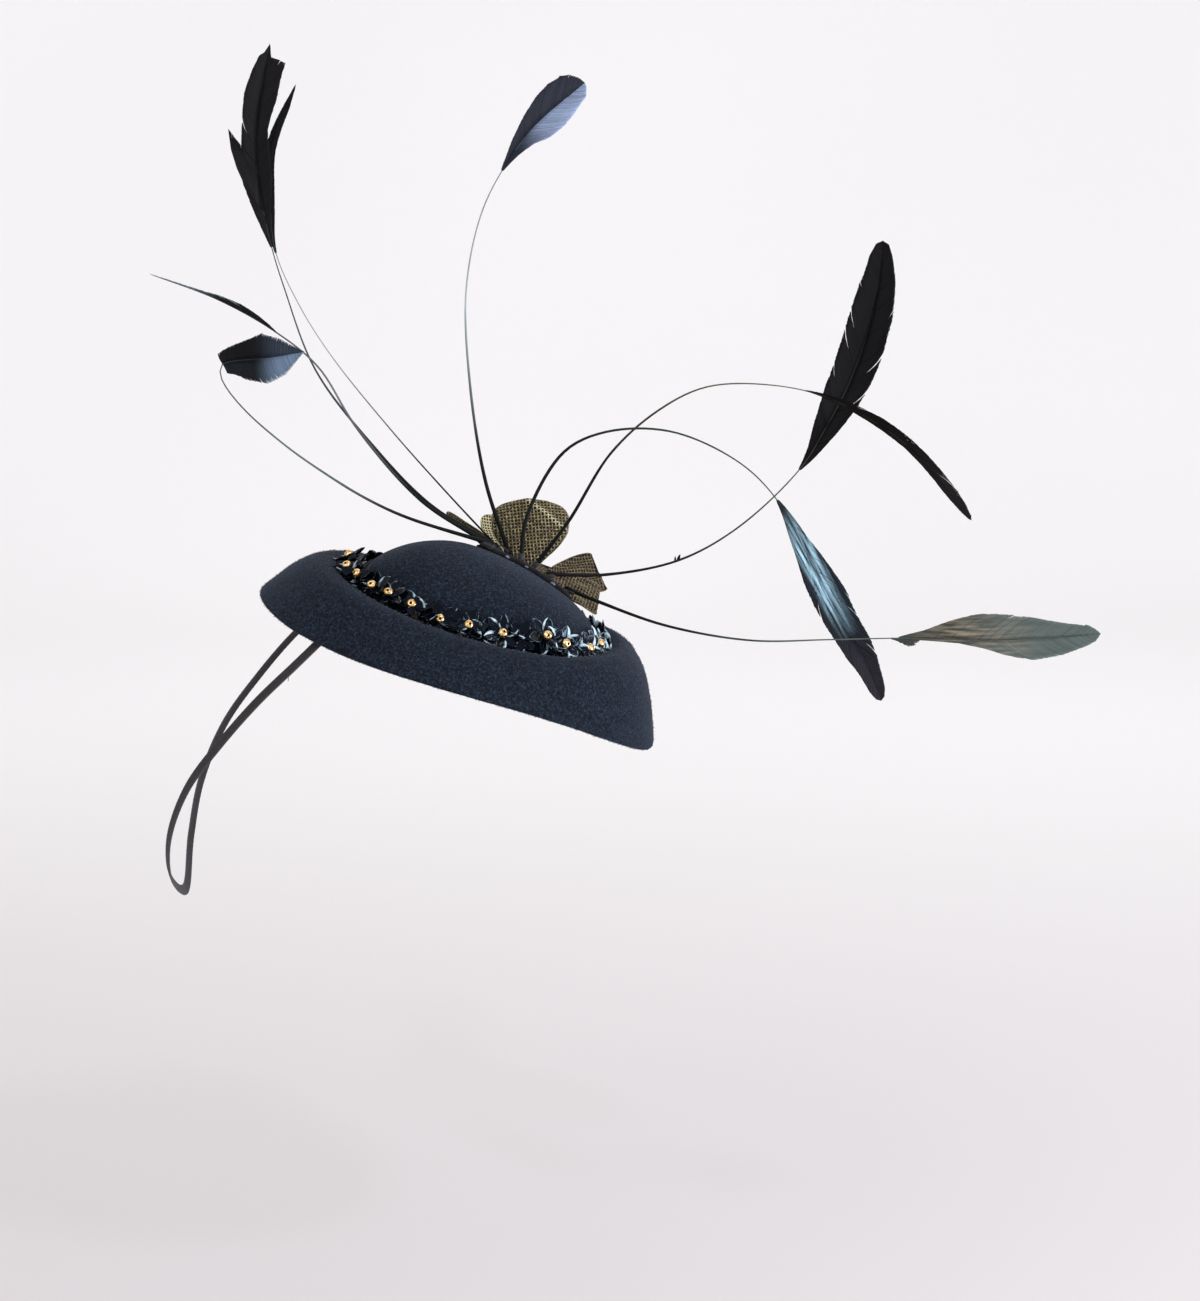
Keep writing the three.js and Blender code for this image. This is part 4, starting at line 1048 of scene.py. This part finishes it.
def addFeather(row, seed):
    rolls = random.Random(seed)
    foot, leaving = quillFoot(row)
    foot.z += row["root"] * math.hypot(leaving.x, leaving.y)
    path = smoothPath([tip @ foot] + [Vector(point) for point in row["path"]])
    runs = pathRuns(path)
    webStart = runs[-1] - row["web"]
    face = Vector(row["facing"]).normalized()
    fold = math.radians(row["cup"])
    slant = row.get("slant", barb["slant"])
    points, faces, along, across, side, streak = [], [], [], [], [], []

    # the shaft, from the binding to the feather's tip
    count = int(runs[-1] / quill["step"]) + 1
    stations = [runs[-1] * k / count for k in range(count + 1)]
    stations[0] = -quill["footIn"]
    shaft, radii = [], []
    for distance in stations:
        point, forward = onPath(path, runs, distance)
        shaft.append(point)
        if distance < webStart:
            radius = row["foot"] + (row["top"] - row["foot"]) * (max(distance, 0) / webStart) ** 0.5
        else:
            radius = row["top"] * (1 - 0.75 * (distance - webStart) / row["web"])
        radii.append(radius * (1 + 0.08 * noise.noise(point * 0.2)))
    addSkin(points, faces, tubeRings(shaft, radii, quill["sides"]))
    for distance in stations:
        along.extend([max(distance, 0) / runs[-1]] * quill["sides"])
    along.extend([0, 1])
    across.extend([0] * len(along))
    side.extend([0] * len(along))
    streak.extend([0.5] * len(along))
    shaftFaces = len(faces)

    # barbs: each a thin closed blade from the shaft to the vane's outline
    def addBarb(distance, sign, reach, advance, curl, lift, thin=barb["thin"]):
        rings = []
        steep = advance / max(reach, 0.5)
        for k in range(barb["points"]):
            share = k / (barb["points"] - 1)
            lateral = reach * (1 - (1 - share) ** 1.3)
            place = distance + advance * share ** 1.15
            point, forward = onPath(path, runs, max(0, min(place, runs[-1])))
            point = point + forward * max(0, place - runs[-1])
            right = forward.cross(face).normalized()
            up = right.cross(forward)
            high = lateral * math.sin(fold) + curl * share ** 2 + lift
            middle = point + right * sign * lateral * math.cos(fold) + up * high
            wide = barb["wide"] + (thin - barb["wide"]) * share ** 3
            blade = (forward - right * sign * steep).normalized()
            rings.append([middle + blade * wide / 2, middle - blade * wide / 2, middle + up * barb["thick"]])
            along.extend([(place - webStart) / row["web"]] * 3)
            across.extend([sign * lateral] * 3)
        before = len(points)
        addSkin(points, faces, rings)
        added = len(points) - before
        along.extend([along[-3 * barb["points"]], along[-1]])
        across.extend([0, across[-1]])
        side.extend([1 if sign > 0 else 0] * added)
        streak.extend([rolls.random()] * added)

    # each barb ends on the outline; its root lies behind, and never behind the one before
    vane = [*row["vane"], (1.012, 0.05, 0.05)]
    for sign, column in ((-1, 1), (1, 2)):
        splits = [share for share, half in row.get("splits", []) if half == sign]
        lockLeft, lockReach, lockLift, shift = 0, 1, 0, 0
        root, end = 0, 0.3
        while end < row["web"] * vane[-1][0]:
            share = end / row["web"]
            if splits and share > splits[0]:
                splits.pop(0)
                lockLeft, shift = rolls.randint(10, 16), rolls.uniform(1.1, 2)
            elif lockLeft <= 0:
                lockLeft, lockReach = rolls.randint(8, 24), rolls.uniform(0.975, 1.02)
                lockLift, shift = rolls.uniform(-0.1, 0.1), rolls.uniform(0, 0.25)
            reach = rowAt(vane, share)[column]
            ahead = rowAt(vane, share + 0.1 / row["web"])[column]
            root = max(root, end - reach * slant)
            addBarb(webStart + root, sign, reach * lockReach * rolls.uniform(0.98, 1.015), end - root + shift,
                    rolls.uniform(-0.06, 0.1), lockLift)
            lockLeft -= 1
            shift *= 0.86
            steep = max(0, (reach - ahead) * 10)
            end += barb["spacing"] * rolls.uniform(0.85, 1.15) / (1 + slant * steep)
    # barbs that have come unhooked and stand out together as a long point
    for place, sign, reach, advance, count in row.get("spikes", []):
        for k in range(count):
            distance = webStart + row["web"] * place + k * barb["spikeStep"]
            inward = 1 - 0.5 * k / count
            addBarb(distance, sign, reach * inward + rolls.uniform(-0.1, 0.1), advance * inward,
                    rolls.uniform(-0.1, 0.1), 0.1, barb["spikeThin"])
    # a flat tuft of torn barbs just before the vane
    for k in range(row.get("tuft", 0)):
        stand = math.sin(math.pi * (k / row["tuft"]) ** 1.3) * rolls.uniform(0.8, 1)
        addBarb(webStart - barb["tuftBefore"] + k * barb["tuftStep"], 1, 0.6 + 3 * stand, rolls.uniform(1.6, 2.4), 0, 0,
                barb["tuftThin"])
    # a nub of cut barbs left on the quill
    for _ in range(barb["nubCount"] if "nub" in row else 0):
        addBarb(webStart * row["nub"] + rolls.uniform(-1, 1), -1, rolls.uniform(1.2, 2.2),
                rolls.uniform(0.5, 1.5), 0, 0, barb["nubThin"])
    finishOf = [0] * shaftFaces + [1] * (len(faces) - shaftFaces)
    name = "".join(word.capitalize() for word in row["node"].split("_")[1:])
    newPiece(f"feather{name}", points, faces, [shaftFinish(row), barbFinish(row)], "feather", [row["node"]],
             finishOf=finishOf, marks={"along": along, "across": across, "side": side, "streak": streak})


for number, row in enumerate(feathers):
    addFeather(row, 100 + number)

# black thread and glue lumped round each quill's foot, where it leaves the tape
wrap = {"long": 3, "wide": 1.5, "high": 1.25, "ahead": 0.6, "ripple": 0.35}
footWraps = []
for row in feathers:
    foot, lean = quillFoot(row)
    turned = lean.to_track_quat("X", "Z").to_matrix()
    rings = []
    for ring in ballRings(10, 14):
        lumps = [turned @ Vector((-wrap["long"] * p.x, wrap["wide"] * p.y, wrap["high"] * p.z)) for p in ring]
        rings.append([foot + lean * wrap["ahead"] + lump * (1 + wrap["ripple"] * noise.noise((foot + lump) * 0.8))
                      for lump in lumps])
    footWraps.append(rings)
newHatPiece("quillFootWraps", *skinned(footWraps), [blackThread], "binding")
print("feathers: shafts and barbs")


# Elastic

elastic = {"wide": 4.6, "thick": 1, "edgeHalf": 0.12, "faceTo": (-16, 0, -50), "ribs": 5, "ribDepth": 0.11,
           "pick": 1.1, "pickHigh": 0.03, "acrossSteps": 12}
elasticHalf = [(-43, -43.4, 28.6), (-51.6, -48.2, 20.6), (-59, -53, 14), (-73, -56.5, 1), (-88, -54.5, -16),
               (-103, -48, -36.3), (-112.5, -39, -58.8), (-115.5, -26, -79), (-114, 0, -94)]
elasticPath = smoothPath([Vector(p) for p in elasticHalf] + [Vector((x, -y, z)) for x, y, z in elasticHalf[-2::-1]])
elasticRuns = pathRuns(elasticPath)
elasticRings, elasticAcross = [], []
crossings = int(elasticRuns[-1] / elastic["pick"])
for k in range(crossings + 1):
    point, forward = onPath(elasticPath, elasticRuns, elasticRuns[-1] * k / crossings)
    wide = forward.cross(point - Vector(elastic["faceTo"])).normalized()
    out = wide.cross(forward)
    ring = []
    for face in (1, -1):
        for step in range(elastic["acrossSteps"] + 1):
            across = (2 * step / elastic["acrossSteps"] - 1) * face
            rib = elastic["ribDepth"] * math.cos(math.pi * elastic["ribs"] * across) * (1 - across ** 8)
            edge = (1 - abs(across) ** 10) ** 0.5
            high = (elastic["thick"] / 2 - elastic["ribDepth"]) * edge + rib
            high += elastic["pickHigh"] * (1 if k % 2 else -1)
            if abs(across) == 1:
                high = elastic["edgeHalf"]
            ring.append(point + wide * across * elastic["wide"] / 2 + out * face * high)
            elasticAcross.append(abs(across))
    elasticRings.append(ring)
# the middles of the two end caps
elasticAcross.extend([0, 0])

# Rubber-core elastic, braided over with polyester: black-brown, greyer toward both edges
braidLook = {"dark": "#1b1819", "body": "#2b2829", "worn": "#56535a", "pick": 0.9, "depth": 0.1}
braid, braidTree, braidSurface, braidNoise, braidTone = mottledFinish("rubberElasticBraided", {
    "Roughness": 0.72, "Specular IOR Level": 0.3, "Sheen Weight": 0.25, "Sheen Tint": "#8c8a94"},
    braidLook["pick"], [(0.35, braidLook["dark"]), (0.65, braidLook["body"])], Detail=3)
edgeMask = addNode(braidTree, "MapRange", {
    "Value": addNode(braidTree, "Attribute", attribute_name="across").outputs["Fac"], "From Min": 0.8,
    "From Max": 1.0, "To Max": 0.6})
braidColour = addNode(braidTree, "Mix", {"Factor": edgeMask, 6: braidTone, 7: braidLook["worn"]}, data_type="RGBA")
braidBump = addNode(braidTree, "Bump", {
    "Height": braidNoise, "Strength": 0.6, "Distance": braidLook["depth"] / metre})
setSockets(braidSurface, {"Base Color": braidColour, "Normal": braidBump})
newPiece("elasticBraid", *skinned([elasticRings]), [braid], "elastic", ["elastic_strap"],
         marks={"across": elasticAcross})

# thread that sews the elastic in, and one end left long
stray = [(-56, 52.4, 16.5), (-58.5, 54, 13), (-61, 54.6, 11.5), (-61.5, 55.6, 8.5)]
strayRadius = 0.13
strayRings = []
for sign in (-1, 1):
    strayPath = smoothPath([Vector((x, y * sign, z)) for x, y, z in stray], 8)
    strayRings.append(tubeRings(strayPath, [strayRadius] * len(strayPath), 5))
newPiece("strayThreads", *skinned(strayRings), [blackThread], "elastic")
print("elastic: braid and thread")
